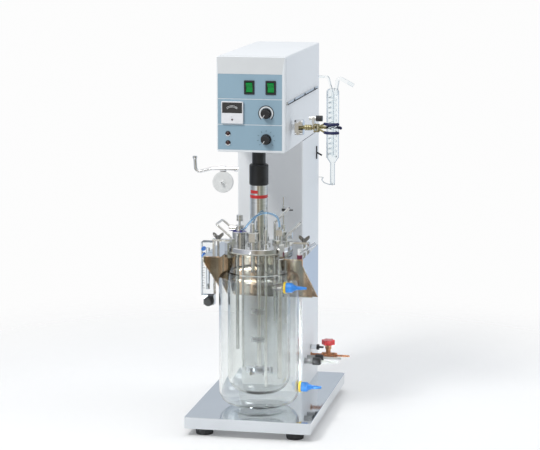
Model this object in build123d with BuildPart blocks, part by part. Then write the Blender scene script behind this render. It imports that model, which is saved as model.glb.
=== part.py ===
"""Bench bioreactor: a jacketed glass vessel on a steel stand, stirred from above by a magnet-coupled motor.

Millimetres, +Z up, +X to the operator's right, +Y to the back. The origin is on the bench, under the middle
of the base.
"""

import os
from math import cos, pi, radians, sin, sqrt, tan

from build123d import *

os.makedirs("parts", exist_ok=True)

# ---------------------------------------------------------------- driving dimensions
# Clearances
running_gap = 0.05        # radial, shaft in a bush
free_gap = 0.5            # between pieces that move past each other
seat_gap = 0.2            # round a piece that drops into a pocket

# Base pan and feet
base_width = 300.0
base_depth = 495.0
pan_height = 27.0
pan_sheet = 1.5
pan_corner = 5.0
foot_height = 18.0
foot_radius = 23.0
foot_taper = 3.0
foot_side_inset = 42.0
foot_end_inset = 34.0

# Column and head housing
column_width = 160.0
column_depth = 219.0
column_height = 620.0
head_depth = 442.0
head_height = 220.0
hook_inset = 35.0
hook_drop = 51.0
hook_plate_width = 5.0
hook_width = 2.6
hook_height = 32.0
hook_bar_radius = 2.1
hook_reach = 15.0
hook_fall = 8.0
housing_sheet = 1.5
housing_corner = 4.0

# Front bezel and control panel
bezel_depth = 12.0
panel_thickness = 2.5
panel_left_margin = 3.0
panel_right_margin = 7.5
panel_bottom_margin = 5.5
panel_height = 174.0
panel_ledge = 6.0
groove_width = 1.6
groove_depth = 0.5
upper_groove_drop = 57.0
lower_groove_drop = 116.0

# Controls on the panel, each placed from the panel's top left corner
switch_width = 24.0
switch_height = 32.0
switch_frame = 2.6
switch_proud = 2.5
switch_body_depth = 22.0
switch_drop = 30.0
power_switch_in = 73.5
stirrer_switch_in = 123.5
rocker_tilt = 8.0
rocker_crown = 3.2
rocker_gap = 0.4
rocker_depth = 9.0
meter_side = 51.0
meter_proud = 6.0
meter_barrel_radius = 20.0
meter_barrel_depth = 26.0
meter_in = 34.5
meter_drop = 88.0
knob_in = 112.6
speed_knob_drop = 89.0
temperature_knob_drop = 148.5
knob_radius = 12.5
knob_height = 15.0
knob_shaft_radius = 3.0
knob_shaft_reach = 12.0
lamp_in = 23.5
upper_lamp_drop = 137.0
lower_lamp_drop = 158.5
lamp_radius = 4.2
lamp_proud = 2.6

# Rail on the head's right side
rail_height = 7.0
rail_proud = 4.0
rail_length = 391.0
rail_drop = 104.0
rail_front_gap = 2.0

# Drive
axis_offset = 1.0         # vessel axis behind the middle of the free room under the head
motor_radius = 38.0
motor_length = 90.0
spigot_radius = 16.0
spigot_length = 38.0
drive_shaft_radius = 5.0
cup_radius = 22.5
cup_length = 49.0
cup_chamfer = 3.0
cup_wall = 4.0
cup_roof = 8.0
housing_tube_radius = 20.7
housing_tube_wall = 2.2
housing_neck_wall = 1.6
housing_flange_radius = 27.0
housing_flange_height = 5.0
rotor_length = 30.0
bush_length = 9.0

# Vessel, seated by its flange on the shelf
shelf_height = 371.0      # shelf's top above the base pan
vessel_radius = 74.0
vessel_wall = 4.5
jacket_radius = 95.0
jacket_wall = 3.5
flange_radius = 80.0
flange_height = 6.0
neck_length = 43.0        # flange's underside to the shoulder
shoulder_height = 12.0
shoulder_round = 16.0
vessel_depth = 336.0      # flange's underside to the bottom of the inner vessel
jacket_depth = 363.0      # flange's underside to the bottom of the jacket
vessel_foot_round = 42.0
jacket_foot_round = 30.0
nozzle_radius = 8.0
nozzle_bore = 5.0
collar_standoff = 2.5
upper_nozzle_drop = 67.0
upper_nozzle_forward = 75.0
lower_nozzle_drop = 321.0
collar_radius = 13.5
collar_length = 5.0
cap_radius = 11.5
cap_length = 14.0
cap_lap = 4.0
barb_radius = 3.6
barb_bore = 2.0
barb_length = 34.0
barb_pitch = 6.0
barb_ridge = 1.0
cap_taper = 5.0

# Head plate and its clamps
gasket_height = 2.5
plate_radius = 78.0
plate_height = 10.5
plate_chamfer = 1.2
clamp_angles = (-40.0, -142.0, 90.0)
clamp_width = 15.0
clamp_wall = 5.5
clamp_lift = 6.0
clamp_screw_radius = 3.5
clamp_hex_radius = 7.5
clamp_hex_height = 8.0

# Agitator
shaft_radius = 5.0
upper_turbine_radius = 19.0
lower_turbine_radius = 33.0
turbine_blade_height = 12.0
lower_blade_height = 16.0
blade_thickness = 1.6
turbine_hub_radius = 8.5
turbine_disc_height = 1.6
top_turbine_drop = 143.0  # from the flange's underside
middle_turbine_drop = 211.0
lower_turbine_drop = 284.0

# Shelf bracket
bracket_half_width = 118.5
bracket_sheet = 2.0
bracket_lead = 73.0       # shelf's front edge ahead of the vessel axis
bracket_drop = 130.0
wing_front_height = 14.0
bracket_return = 12.0
slot_clearance = 1.5

hold_down_x = 104.0
hold_down_back = 25.0
stud_radius = 3.0
stud_height = 31.0
dog_thickness = 5.0
dog_width = 12.0
dog_lap = 6.0
wing_hub_radius = 6.0
wing_hub_height = 8.0
wing_span = 26.0
wing_rise = 9.0

# Ports on the head plate, placed from the vessel axis (x to the right, y to the back)
addition_x, addition_y = -49.5, 15.0
addition_radius = 17.5
addition_height = 27.0
addition_head_radius = 10.0
addition_head_height = 15.0
addition_stem_radius = 2.5
addition_stem_length = 10.0
addition_knob_radius = 7.5
addition_knob_height = 14.0
side_cap_radius = 7.3
side_cap_length = 15.0
probe_spread = 7.0
electrode_radius = 4.5
electrode_length = 258.0
dosing_radius = 3.0
dosing_length = 300.0
gland_x, gland_y = -6.0, -40.0
gland_stub_radius = 8.0
gland_stub_height = 12.0
gland_hex_radius = 15.0
gland_hex_height = 23.0
probe_radius = 5.0
probe_rise = 22.0
probe_length = 60.0
sparge_x, sparge_y = 24.0, -38.0
sparge_radius = 3.6
sparge_rise = 42.0
sparge_length = 335.0
harvest_x, harvest_y = 33.0, 26.0
harvest_rise = 50.0
exhaust_x, exhaust_y = 62.0, 14.0
exhaust_rise = 18.0
bent_radius = 3.2
bent_bore = 2.2
bent_reach = 35.0
bent_depth = 190.0
collar_ring_radius = 6.5
collar_ring_height = 8.0
feed_x, feed_y = 52.0, -14.0
feed_column_radius = 6.0
feed_column_height = 25.0
feed_cube = 15.0
feed_stub = 5.0
feed_dip_radius = 5.5
feed_dip_length = 318.0
feed_lead = 20.0          # straight start of the feed tube
feed_arch = 36.0          # its crown above the feed port's tip
feed_bow = 13.0           # how far it bows to the front
sampler_x, sampler_y = 50.0, 44.0
sampler_base_radius = 8.0
sampler_base_height = 26.0
sampler_body_radius = 5.5
sampler_body_height = 16.0
sampler_rod_radius = 2.0
sampler_rod_length = 66.0
lever_drop = 31.0
lever_length = 19.0
lever_radius = 1.8
lever_collar_height = 5.0
needle_knob_radius = 8.0
needle_knob_length = 12.0
wire_radius = 2.6
handle_x = -62.0
handle_front, handle_back = -27.0, 41.0
handle_leg = 20.0
handle_lean = 35.0
handle_rise = 29.0
bend_radius = 7.0
tube_radius = 2.5

# Rotameter on the left wing, with its valve block below
rotameter_side = 30.0
rotameter_height = 129.0
rotameter_drop = 116.0    # shelf's top to the body's foot
rotameter_forward = 87.0  # from the column's front face
rotameter_bore = 4.3
rotameter_end = 14.0
float_radius = 3.9
float_height = 12.0
valve_block_side = 25.0
valve_block_height = 24.0
rotameter_knob_in = 9.5
rotameter_knob_radius = 11.5
rotameter_knob_length = 20.0
rotameter_stem_radius = 3.0
elbow_radius = 5.0
elbow_length = 13.0
elbow_in = 21.5
upper_elbow_drop = 14.0
lower_elbow_drop = 29.5

# Arm on the column's left side, and the air filter that hangs from it
arm_drop = 76.0           # below the head
arm_setback = 29.0        # behind the column's front face
arm_boss_radius = 6.5
arm_boss_length = 14.0
arm_radius = 4.0
arm_bore = 2.8
arm_reach = 68.0
arm_slope_reach, arm_slope_fall = 43.0, 11.0
arm_rise = 40.0
arm_mouth_radius = 5.6
arm_mouth_length = 8.0
filter_radius = 26.0
filter_thickness = 7.0
filter_in = 43.0
filter_drop = 33.0
filter_barb_radius = 3.0
filter_barb_length = 12.0
clip_radius = 6.6
clip_width = 14.0
clip_sheet = 3.0

# Water connections on the column's right side
water_height = 73.0       # above the base
socket_length = 21.0
inlet_setback, outlet_setback, valve_setback = 31.0, 69.0, 119.0
inlet_socket_radius, outlet_socket_radius = 7.2, 6.0
union_length = 20.0
union_flange = 2.3
water_barb_radius = 3.2
water_barb_length = 44.0
sleeve_radius = 4.2       # barb's root, inside the union nut
valve_height = 68.0
valve_pipe_radius = 4.0
valve_pipe_length = 28.0
valve_body_radius = 8.0
valve_body_length = 32.0
valve_neck_radius = 6.0
valve_neck_height = 12.0
bonnet_radius = 8.0
bonnet_height = 8.0
stem_radius = 2.5
stem_height = 6.0
wheel_radius = 13.5
wheel_lobe_radius = 3.6
wheel_height = 12.0
outlet_nut_length = 6.0
valve_barb_radius = 2.6
valve_barb_length = 32.0
vent_rise = 20.0          # above the valve's axis
vent_radius = 5.5
vent_length = 15.0
vent_disc_radius = 7.0
vent_disc_length = 6.0
vent_tube_length = 11.0

# Clamp on the head's right side
clamp_height = 52.0       # above the head's underside
clamp_back = 72.0         # behind the head's front face
clamp_flange_radius = 6.8
clamp_flange_length = 10.0
clamp_boss_depth = 26.0
clamp_boss_height = 35.0
clamp_boss_length = 19.5
clamp_boss_round = 8.0
clamp_rod_radius = 4.6
clamp_rod_end = 57.0      # from the head's side
boss_screw_radius = 3.0
boss_screw_length = 6.0
boss_screw_spread = 11.5
boss_screw_inset = 5.0
boss_socket_radius = 2.2
yoke_length = 10.0
yoke_width = 19.0
yoke_wall = 2.5
finger_radius = 3.4
finger_pitch = 20.0
finger_gap = 0.4
link_radius = 2.3         # slanting links between the hub and the two front fingers
link_root = 1.6
pin_radius = 2.0
hub_radius = 4.2
hub_height = 13.0
barrel_in = 33.0          # ribbed barrel nut on the rod, from the head's side
barrel_length = 16.0
barrel_wall = 2.2
lug_in = 50.0
lug_length = 6.0
lug_rise = 22.5
jaw_screw_rise = 21.5
jaw_screw_radius = 4.8
jaw_screw_length = 3.0
jaw_nut_radius = 4.2
jaw_nut_length = 7.0
jaw_knob_radius = 6.8
jaw_knob_length = 14.7

# Glass condenser held by the clamp
condenser_out = 97.5      # from the head's side
condenser_radius = 14.6
condenser_wall = 1.5
condenser_low, condenser_high = -68.0, 92.0    # ends of the wide body from the clamp's height
condenser_taper = 13.0
stem_tube_radius = 5.8
stem_tube_length = 51.0
coil_radius = 8.0
coil_wire_radius = 2.0
coil_turns = 12
return_bend = 5.0
glass_arm_rise = 26.0     # bend of both arms above the body
left_arm_radius = 3.0
left_arm_out, left_arm_reach = 11.0, 34.0
right_arm_radius = 4.5
right_arm_out, right_arm_reach, right_arm_fall = 12.0, 48.0, 19.0
arm_tip_bore = 15.0       # depth of the hose openings in both arms
hose_radius = 2.5
capillary_radius = 1.25
capillary_stub = 2.5
capillary_inset = 17.0
capillary_fall = 45.0     # from the condenser's foot to the barb on the rear cover
capillary_clear = 9.0     # past the housing's rear corner
capillary_loop = 28.0     # behind the rear cover
capillary_lead = 56.0     # first run
capillary_barb = 12.0

# Spout on the shelf's right fork
spout_x = 106.6
spout_back = 25.5         # behind the shelf's front edge
spout_band_radius = 6.5
spout_band_height = 6.0
spout_collar_radius = 4.8
spout_collar_height = 14.0
spout_tube_radius = 4.6
spout_reach = 37.0
spout_rise = 27.0

# ---------------------------------------------------------------- levels and places that follow
base_top = foot_height + pan_height
base_front = -base_depth / 2
base_rear = base_depth / 2
column_front = base_rear - column_depth
head_bottom = base_top + column_height
head_top = head_bottom + head_height
head_front = base_rear - head_depth
head_side = column_width / 2
cover_front = base_rear - housing_sheet
bezel_rear = head_front + bezel_depth

# The drive and the vessel share the free room between the panel's frame and the column
axis_y = (bezel_rear + motor_radius + column_front - jacket_radius) / 2 + axis_offset
shelf_top = base_top + shelf_height
flange_top = shelf_top + flange_height
plate_bottom = flange_top + gasket_height
plate_top = plate_bottom + plate_height

panel_width = column_width - panel_left_margin - panel_right_margin
panel_left = -head_side + panel_left_margin
panel_bottom = head_bottom + panel_bottom_margin
panel_top = panel_bottom + panel_height
panel_x = panel_left + panel_width / 2
panel_z = panel_bottom + panel_height / 2
panel_rear = head_front + panel_thickness

spigot_bottom = head_bottom - spigot_length
cup_top = spigot_bottom - free_gap
cup_bottom = cup_top - cup_length
cup_inner_radius = cup_radius - cup_wall
neck_radius = cup_inner_radius - free_gap
tube_inner_radius = housing_tube_radius - housing_tube_wall
neck_inner_radius = neck_radius - housing_neck_wall
neck_top = cup_top - cup_roof - free_gap
shoulder_level = cup_bottom - free_gap
rotor_radius = neck_inner_radius - free_gap
rotor_top = neck_top - housing_neck_wall - 2 * free_gap
rotor_bottom = rotor_top - rotor_length

vessel_inner_radius = vessel_radius - vessel_wall
bracket_bottom = shelf_top - bracket_drop
bracket_front = axis_y - bracket_lead
stem_foot_z = head_bottom + clamp_height + condenser_low - condenser_taper - stem_tube_length
capillary_root = stem_foot_z + 2 * condenser_wall
capillary_level = capillary_root - capillary_fall


def front_plane(y):
    """Plane facing the operator at depth y, with its x along +X and its y along +Z."""
    return Plane(origin=(0, y, 0), x_dir=(1, 0, 0), z_dir=(0, -1, 0))


def axis_plane(z):
    """Level plane at height z, centred on the vessel axis."""
    return Plane(origin=(0, axis_y, z))


def side_plane(x, y, z):
    """Plane facing +X at (x, y, z), with its x along +Y and its y along +Z."""
    return Plane(origin=(x, y, z), x_dir=(0, 1, 0), z_dir=(1, 0, 0))


def section_plane(x=0.0, y=axis_y):
    """Upright plane facing the operator through (x, y); turned profiles are drawn on it and revolved."""
    return Plane(origin=(x, y, 0), x_dir=(1, 0, 0), z_dir=(0, -1, 0))


def upright_axis(x=0.0, y=axis_y):
    return Axis((x, y, 0), (0, 0, 1))


def finish(piece, label):
    """Name a finished piece and write it out."""
    piece.part.label = label
    export_step(piece.part, f"parts/{label}.step")


# ================================================================ stand
# Base: an inverted pan of folded stainless sheet, open underneath
with BuildPart() as base_pan:
    with BuildSketch(Plane.XY.offset(foot_height)):
        RectangleRounded(base_width, base_depth, pan_corner)
    extrude(amount=pan_height)
    chamfer(base_pan.faces().sort_by(Axis.Z)[-1].edges(), pan_sheet / 2)
    with BuildSketch(Plane.XY.offset(foot_height)):
        RectangleRounded(base_width - 2 * pan_sheet, base_depth - 2 * pan_sheet, pan_corner - pan_sheet)
    extrude(amount=pan_height - pan_sheet, mode=Mode.SUBTRACT)
finish(base_pan, "base_pan")

# Feet: tapered rubber pucks on tall pads that reach the underside of the pan's top
foot_x = base_width / 2 - foot_side_inset
foot_y = base_depth / 2 - foot_end_inset
with BuildPart() as rubber_feet:
    with BuildSketch(Plane.XY) as foot_sole:
        with Locations(*[(sx * foot_x, sy * foot_y) for sx in (-1, 1) for sy in (-1, 1)]):
            Circle(foot_radius - foot_taper)
    extrude(amount=foot_height, taper=-9.0)
    with BuildSketch(Plane.XY.offset(foot_height)):
        with Locations(*[(sx * foot_x, sy * foot_y) for sx in (-1, 1) for sy in (-1, 1)]):
            Circle(foot_radius - foot_taper)
    extrude(amount=pan_height - pan_sheet)
finish(rubber_feet, "rubber_feet")

# Column: a folded channel, open at the back
column_y = (column_front + cover_front) / 2
with BuildPart() as column_shell:
    with BuildSketch(Plane.XY.offset(base_top)) as channel:
        with Locations((0, column_y)):
            Rectangle(column_width, cover_front - column_front)
        fillet(channel.vertices().group_by(Axis.Y)[0], housing_corner)
        with Locations((0, column_y + housing_sheet)):
            Rectangle(column_width - 2 * housing_sheet, cover_front - column_front, mode=Mode.SUBTRACT)
    extrude(amount=column_height)
    with BuildSketch(side_plane(head_side, base_rear - hook_inset, head_bottom - hook_drop)):
        Rectangle(hook_plate_width, hook_height)
    extrude(amount=hook_width)
    with BuildSketch(Plane(origin=(head_side + hook_width / 2, base_rear - hook_inset,
                                   head_bottom - hook_drop), z_dir=(hook_reach, 0, -hook_fall))):
        Circle(hook_bar_radius)
    extrude(amount=hook_reach)
finish(column_shell, "column_shell")

# Head: a folded sleeve that stands on the column; its floor carries the motor
with BuildPart() as head_shell:
    with BuildSketch(Plane(origin=(0, cover_front, head_bottom + head_height / 2),
                           x_dir=(1, 0, 0), z_dir=(0, -1, 0))):
        RectangleRounded(column_width, head_height, housing_corner)
        RectangleRounded(column_width - 2 * housing_sheet, head_height - 2 * housing_sheet,
                         housing_corner - housing_sheet, mode=Mode.SUBTRACT)
    extrude(amount=cover_front - bezel_rear)
    with BuildSketch(axis_plane(head_bottom)):
        Circle(spigot_radius + seat_gap)
    extrude(amount=housing_sheet, mode=Mode.SUBTRACT)
    with BuildSketch(Plane.XY.offset(head_bottom)):
        with Locations((0, column_y)):
            SlotOverall(column_width / 2, column_width / 5)
    extrude(amount=housing_sheet, mode=Mode.SUBTRACT)
finish(head_shell, "head_shell")

# One flat cover closes the back of both the column and the head
with BuildPart() as rear_cover:
    with BuildSketch(front_plane(base_rear)):
        with Locations((0, (base_top + head_top) / 2)):
            RectangleRounded(column_width, head_top - base_top, housing_corner)
        with Locations((0, head_bottom + head_height / 2)):
            with GridLocations(0, head_height / 12, 1, 6):
                SlotOverall(column_width / 2, housing_sheet * 2, mode=Mode.SUBTRACT)
    extrude(amount=housing_sheet)
    with BuildSketch(Plane(origin=(head_side - capillary_inset, base_rear, capillary_level),
                           x_dir=(-1, 0, 0), z_dir=(0, 1, 0))):
        Circle(capillary_radius + 1)
    extrude(amount=capillary_barb)
finish(rear_cover, "rear_cover")

# Front bezel: a moulded frame with a pocket for the control panel and an overhanging brow above it
with BuildPart() as front_bezel:
    with BuildSketch(front_plane(bezel_rear)):
        with Locations((0, head_bottom + head_height / 2)):
            RectangleRounded(column_width, head_height, housing_corner)
    extrude(amount=bezel_depth)
    chamfer(front_bezel.faces().sort_by(Axis.Y)[0].edges(), housing_sheet)
    with BuildSketch(front_plane(head_front)):
        with Locations((panel_x, panel_z)):
            Rectangle(panel_width + 2 * seat_gap, panel_height + 2 * seat_gap)
    extrude(amount=-panel_thickness, mode=Mode.SUBTRACT)
    with BuildSketch(front_plane(head_front)):
        with Locations((panel_x, panel_z)):
            Rectangle(panel_width - 2 * panel_ledge, panel_height - 2 * panel_ledge)
    extrude(amount=-bezel_depth, mode=Mode.SUBTRACT)
finish(front_bezel, "front_bezel")


# ================================================================ control panel
def panel_point(across, down):
    """Position on the panel face from its top left corner."""
    return (panel_left + across, panel_top - down)


switch_points = [panel_point(power_switch_in, switch_drop), panel_point(stirrer_switch_in, switch_drop)]
knob_points = [panel_point(knob_in, speed_knob_drop), panel_point(knob_in, temperature_knob_drop)]
lamp_points = [panel_point(lamp_in, upper_lamp_drop), panel_point(lamp_in, lower_lamp_drop)]
meter_point = panel_point(meter_in, meter_drop)
switch_hole_width = switch_width - 2 * switch_frame + 2 * seat_gap
switch_hole_height = switch_height - 2 * switch_frame + 2 * seat_gap

with BuildPart() as control_panel:
    with BuildSketch(front_plane(panel_rear)):
        with Locations((panel_x, panel_z)):
            Rectangle(panel_width, panel_height)
        with Locations(*switch_points):
            Rectangle(switch_hole_width, switch_hole_height, mode=Mode.SUBTRACT)
        with Locations(*knob_points):
            Circle(knob_shaft_radius + free_gap, mode=Mode.SUBTRACT)
        with Locations(*lamp_points):
            Circle(lamp_radius - housing_sheet, mode=Mode.SUBTRACT)
        with Locations(meter_point):
            Circle(meter_barrel_radius + seat_gap, mode=Mode.SUBTRACT)
    extrude(amount=panel_thickness)
    with BuildSketch(front_plane(head_front)):
        with Locations((panel_x, panel_top - upper_groove_drop), (panel_x, panel_top - lower_groove_drop)):
            Rectangle(panel_width, groove_width)
    extrude(amount=-groove_depth, mode=Mode.SUBTRACT)
finish(control_panel, "control_panel")

# Rocker switches: a frame with a rectangular body behind the panel, and a rocker on a cross pin
rocker_width = switch_width - 2 * (switch_frame + rocker_gap) - 2 * housing_sheet
pocket_width = rocker_width + 2 * rocker_gap
pocket_height = switch_height - 2 * switch_frame - 2 * housing_sheet
rocker_reach = pocket_height / 2 - rocker_gap
pivot_y = head_front + rocker_crown

with BuildPart() as switch_bodies:
    with BuildSketch(front_plane(head_front)):
        with Locations(*switch_points):
            RectangleRounded(switch_width, switch_height, switch_frame / 2)
    extrude(amount=switch_proud)
    chamfer(switch_bodies.faces().sort_by(Axis.Y).filter_by(Plane.XZ)[0:2].edges(), switch_frame / 4)
    with BuildSketch(front_plane(head_front)):
        with Locations(*switch_points):
            Rectangle(switch_width - 2 * switch_frame, switch_height - 2 * switch_frame)
    extrude(amount=-switch_body_depth)
    with BuildSketch(front_plane(head_front - switch_proud)):
        with Locations(*switch_points):
            Rectangle(pocket_width, pocket_height)
    extrude(amount=-(switch_proud + rocker_crown + rocker_reach + rocker_gap), mode=Mode.SUBTRACT)
finish(switch_bodies, "switch_bodies")


def make_rocker(point, label):
    """Rocker: a slice of a drum about its pivot, its face folded in the middle, resting tipped one way."""
    x, z = point
    side = Plane(origin=(x - rocker_width / 2, pivot_y, z), x_dir=(0, 1, 0), z_dir=(1, 0, 0))
    with BuildPart() as rocker:
        with BuildSketch(side) as drum:
            Circle(rocker_reach)
            front = -rocker_crown
            with BuildLine():
                Polyline((front, 0), (front - rocker_crown, rocker_reach),
                         (-2 * rocker_reach, rocker_reach), (-2 * rocker_reach, -rocker_reach),
                         (front - rocker_crown, -rocker_reach), (front, 0))
            make_face(mode=Mode.SUBTRACT)
            with Locations((rocker_depth + rocker_reach, 0)):
                Rectangle(2 * rocker_reach, 2 * rocker_reach, mode=Mode.SUBTRACT)
        extrude(amount=rocker_width)
    tipped = rocker.part.rotate(Axis((x, pivot_y, z), (1, 0, 0)), rocker_tilt)
    tipped.label = label
    export_step(tipped, f"parts/{label}.step")


make_rocker(switch_points[0], "power_rocker")
make_rocker(switch_points[1], "stirrer_rocker")

# Panel meter: a square case with a sunken display in its upper half and a round barrel behind
with BuildPart() as panel_meter:
    with BuildSketch(front_plane(head_front)):
        with Locations(meter_point):
            RectangleRounded(meter_side, meter_side, housing_corner / 2)
    extrude(amount=meter_proud)
    chamfer(panel_meter.faces().sort_by(Axis.Y)[0].edges(), housing_sheet / 2)
    with BuildSketch(front_plane(head_front)):
        with Locations(meter_point):
            Circle(meter_barrel_radius)
    extrude(amount=-meter_barrel_depth)
    window_width = meter_side * 0.86
    with BuildSketch(front_plane(head_front - meter_proud)):
        with Locations((meter_point[0], meter_point[1] + meter_side * 0.22)):
            Rectangle(window_width, meter_side * 0.42)
    extrude(amount=-housing_sheet, mode=Mode.SUBTRACT)
    with BuildSketch(front_plane(head_front - meter_proud)):
        with Locations((meter_point[0], meter_point[1] - meter_side * 0.22)):
            Circle(meter_side / 20)
    extrude(amount=-housing_sheet, mode=Mode.SUBTRACT)
finish(panel_meter, "panel_meter")


def make_knob(point, label):
    """Turning knob: a skirt, a fluted grip with a pointer slot, and its shaft through the panel."""
    x, z = point
    skirt_height = knob_height / 4
    grip_radius = knob_radius * 0.84
    knob_rear = head_front - free_gap
    with BuildPart() as knob:
        with BuildSketch(front_plane(knob_rear)):
            with Locations((x, z)):
                Circle(knob_radius)
        extrude(amount=skirt_height, taper=8)
        with BuildSketch(front_plane(knob_rear - skirt_height)):
            with Locations((x, z)):
                Circle(grip_radius)
                with PolarLocations(grip_radius + 0.6, 12):
                    Circle(1.5, mode=Mode.SUBTRACT)
        extrude(amount=knob_height - skirt_height, taper=3)
        chamfer(knob.faces().sort_by(Axis.Y)[0].edges(), 0.6)
        with BuildSketch(front_plane(knob_rear)):
            with Locations((x, z)):
                Circle(knob_shaft_radius)
        extrude(amount=-(free_gap + knob_shaft_reach))
        pointer = 240
        with BuildSketch(front_plane(knob_rear - knob_height)):
            with Locations((x + grip_radius / 2 * cos(radians(pointer)),
                            z + grip_radius / 2 * sin(radians(pointer)))):
                Rectangle(grip_radius * 0.8, 1.2, rotation=pointer)
        extrude(amount=-0.6, mode=Mode.SUBTRACT)
    finish(knob, label)


make_knob(knob_points[0], "speed_knob")
make_knob(knob_points[1], "temperature_knob")

# Indicator lamps: domed lenses in flanged sleeves that pass through the panel
with BuildPart() as indicator_lamps:
    with BuildSketch(front_plane(head_front)):
        with Locations(*lamp_points):
            Circle(lamp_radius)
    extrude(amount=lamp_proud)
    fillet(indicator_lamps.faces().sort_by(Axis.Y)[0:2].edges(), lamp_proud * 0.6)
    with BuildSketch(front_plane(head_front)):
        with Locations(*lamp_points):
            Circle(lamp_radius - housing_sheet - seat_gap)
    extrude(amount=-(panel_thickness + lamp_radius))
finish(indicator_lamps, "indicator_lamps")

# Rail on the head's right side, behind the bezel: a strip with a groove along it
rail_top = head_top - rail_drop
rail_start = bezel_rear + rail_front_gap
with BuildPart() as side_rail:
    with BuildSketch(Plane(origin=(head_side, rail_start + rail_length / 2, rail_top - rail_height / 2),
                           x_dir=(0, 1, 0), z_dir=(1, 0, 0))):
        Rectangle(rail_length, rail_height)
    extrude(amount=rail_proud)
    chamfer(side_rail.faces().sort_by(Axis.X)[-1].edges(), rail_proud / 5)
    with BuildSketch(Plane(origin=(head_side + rail_proud, rail_start + rail_length / 2,
                                   rail_top - rail_height * 0.7), x_dir=(0, 1, 0), z_dir=(1, 0, 0))):
        Rectangle(rail_length, rail_height / 6)
    extrude(amount=-rail_proud / 2, mode=Mode.SUBTRACT)
finish(side_rail, "side_rail")


# ================================================================ drive
# Motor: its can stands on the head's floor and its spigot passes down through it
motor_floor = head_bottom + housing_sheet
drive_bore = drive_shaft_radius + running_gap
shaft_top = motor_floor + motor_length * 0.8
with BuildPart() as drive_motor:
    with BuildSketch(axis_plane(motor_floor)):
        Circle(motor_radius)
    extrude(amount=motor_length)
    chamfer(drive_motor.faces().sort_by(Axis.Z)[-1].edges(), motor_radius / 12)
    with BuildSketch(axis_plane(spigot_bottom)):
        Circle(spigot_radius)
    extrude(amount=motor_floor - spigot_bottom)
    with BuildSketch(axis_plane(spigot_bottom)):
        Circle(drive_bore)
    extrude(amount=shaft_top + free_gap - spigot_bottom, mode=Mode.SUBTRACT)
finish(drive_motor, "drive_motor")

# Drive shaft: pressed into the roof of the magnet cup
with BuildPart() as drive_shaft:
    with BuildSketch(axis_plane(cup_top)):
        Circle(drive_shaft_radius)
    extrude(amount=shaft_top - cup_top)
finish(drive_shaft, "drive_shaft")

# Magnet cup: a turned cup that spins round the sealed neck below it
with BuildPart() as magnet_cup:
    with BuildSketch(section_plane()) as cup_section:
        with BuildLine():
            Polyline((0, cup_top), (cup_radius - cup_chamfer, cup_top), (cup_radius, cup_top - cup_chamfer),
                     (cup_radius, cup_bottom + cup_chamfer / 2), (cup_radius - cup_chamfer / 2, cup_bottom),
                     (cup_inner_radius, cup_bottom), (cup_inner_radius, cup_top - cup_roof),
                     (0, cup_top - cup_roof), (0, cup_top))
        make_face()
    revolve(axis=upright_axis())
finish(magnet_cup, "magnet_cup")

# Sealed drive housing: flange on the head plate, wide tube, narrow neck inside the cup
with BuildPart() as drive_housing:
    with BuildSketch(section_plane()):
        with BuildLine():
            Polyline((shaft_radius + free_gap, plate_top), (housing_flange_radius, plate_top),
                     (housing_flange_radius, plate_top + housing_flange_height),
                     (housing_tube_radius, plate_top + housing_flange_height),
                     (housing_tube_radius, shoulder_level), (neck_radius, shoulder_level),
                     (neck_radius, neck_top), (0, neck_top), (0, neck_top - housing_neck_wall),
                     (neck_inner_radius, neck_top - housing_neck_wall),
                     (neck_inner_radius, shoulder_level - housing_tube_wall),
                     (tube_inner_radius, shoulder_level - housing_tube_wall),
                     (tube_inner_radius, plate_top + housing_flange_height),
                     (shaft_radius + free_gap, plate_top + housing_flange_height),
                     (shaft_radius + free_gap, plate_top))
        make_face()
    revolve(axis=upright_axis())
finish(drive_housing, "drive_housing")

# Bushes that carry the agitator shaft inside the housing
lower_bush = plate_top + housing_flange_height
upper_bush = rotor_bottom - free_gap - bush_length
with BuildPart() as shaft_bushes:
    for level, outer in ((lower_bush, tube_inner_radius), (upper_bush, neck_inner_radius)):
        with BuildSketch(axis_plane(level)):
            Circle(outer)
            Circle(shaft_radius + running_gap, mode=Mode.SUBTRACT)
        extrude(amount=bush_length)
finish(shaft_bushes, "shaft_bushes")

# Inner rotor of the magnetic coupling, sleeved on the top of the agitator shaft
with BuildPart() as inner_rotor:
    with BuildSketch(axis_plane(rotor_bottom)):
        Circle(rotor_radius)
        Circle(shaft_radius, mode=Mode.SUBTRACT)
    extrude(amount=rotor_length)
    rotor_edges = inner_rotor.faces().filter_by(Plane.XY).edges().filter_by(GeomType.CIRCLE)
    chamfer(rotor_edges.sort_by(SortBy.RADIUS)[-2:], 1)
finish(inner_rotor, "inner_rotor")


# ================================================================ agitator
lower_turbine_level = shelf_top - lower_turbine_drop
shaft_bottom = lower_turbine_level - lower_blade_height / 2 - free_gap
with BuildPart() as agitator_shaft:
    with BuildSketch(axis_plane(shaft_bottom)):
        Circle(shaft_radius)
    extrude(amount=rotor_top - shaft_bottom)
    chamfer(agitator_shaft.faces().sort_by(Axis.Z)[0].edges(), shaft_radius / 5)
finish(agitator_shaft, "agitator_shaft")


def make_turbine(level, reach, blade_height, blades):
    """Disc turbine: a bored hub, a thin disc and upright blades round its rim."""
    blade_length = reach / 2
    with BuildPart() as turbine:
        with BuildSketch(axis_plane(level - blade_height / 2)):
            Circle(turbine_hub_radius)
        extrude(amount=blade_height)
        with BuildSketch(axis_plane(level - turbine_disc_height / 2)):
            Circle(reach - blade_length / 2)
        extrude(amount=turbine_disc_height)
        with BuildSketch(axis_plane(level - blade_height / 2)):
            with PolarLocations(reach - blade_length / 2, blades):
                Rectangle(blade_length, blade_thickness)
        extrude(amount=blade_height)
        with BuildSketch(axis_plane(level - blade_height / 2)):
            Circle(shaft_radius)
        extrude(amount=blade_height, mode=Mode.SUBTRACT)
    return turbine.part


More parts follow.
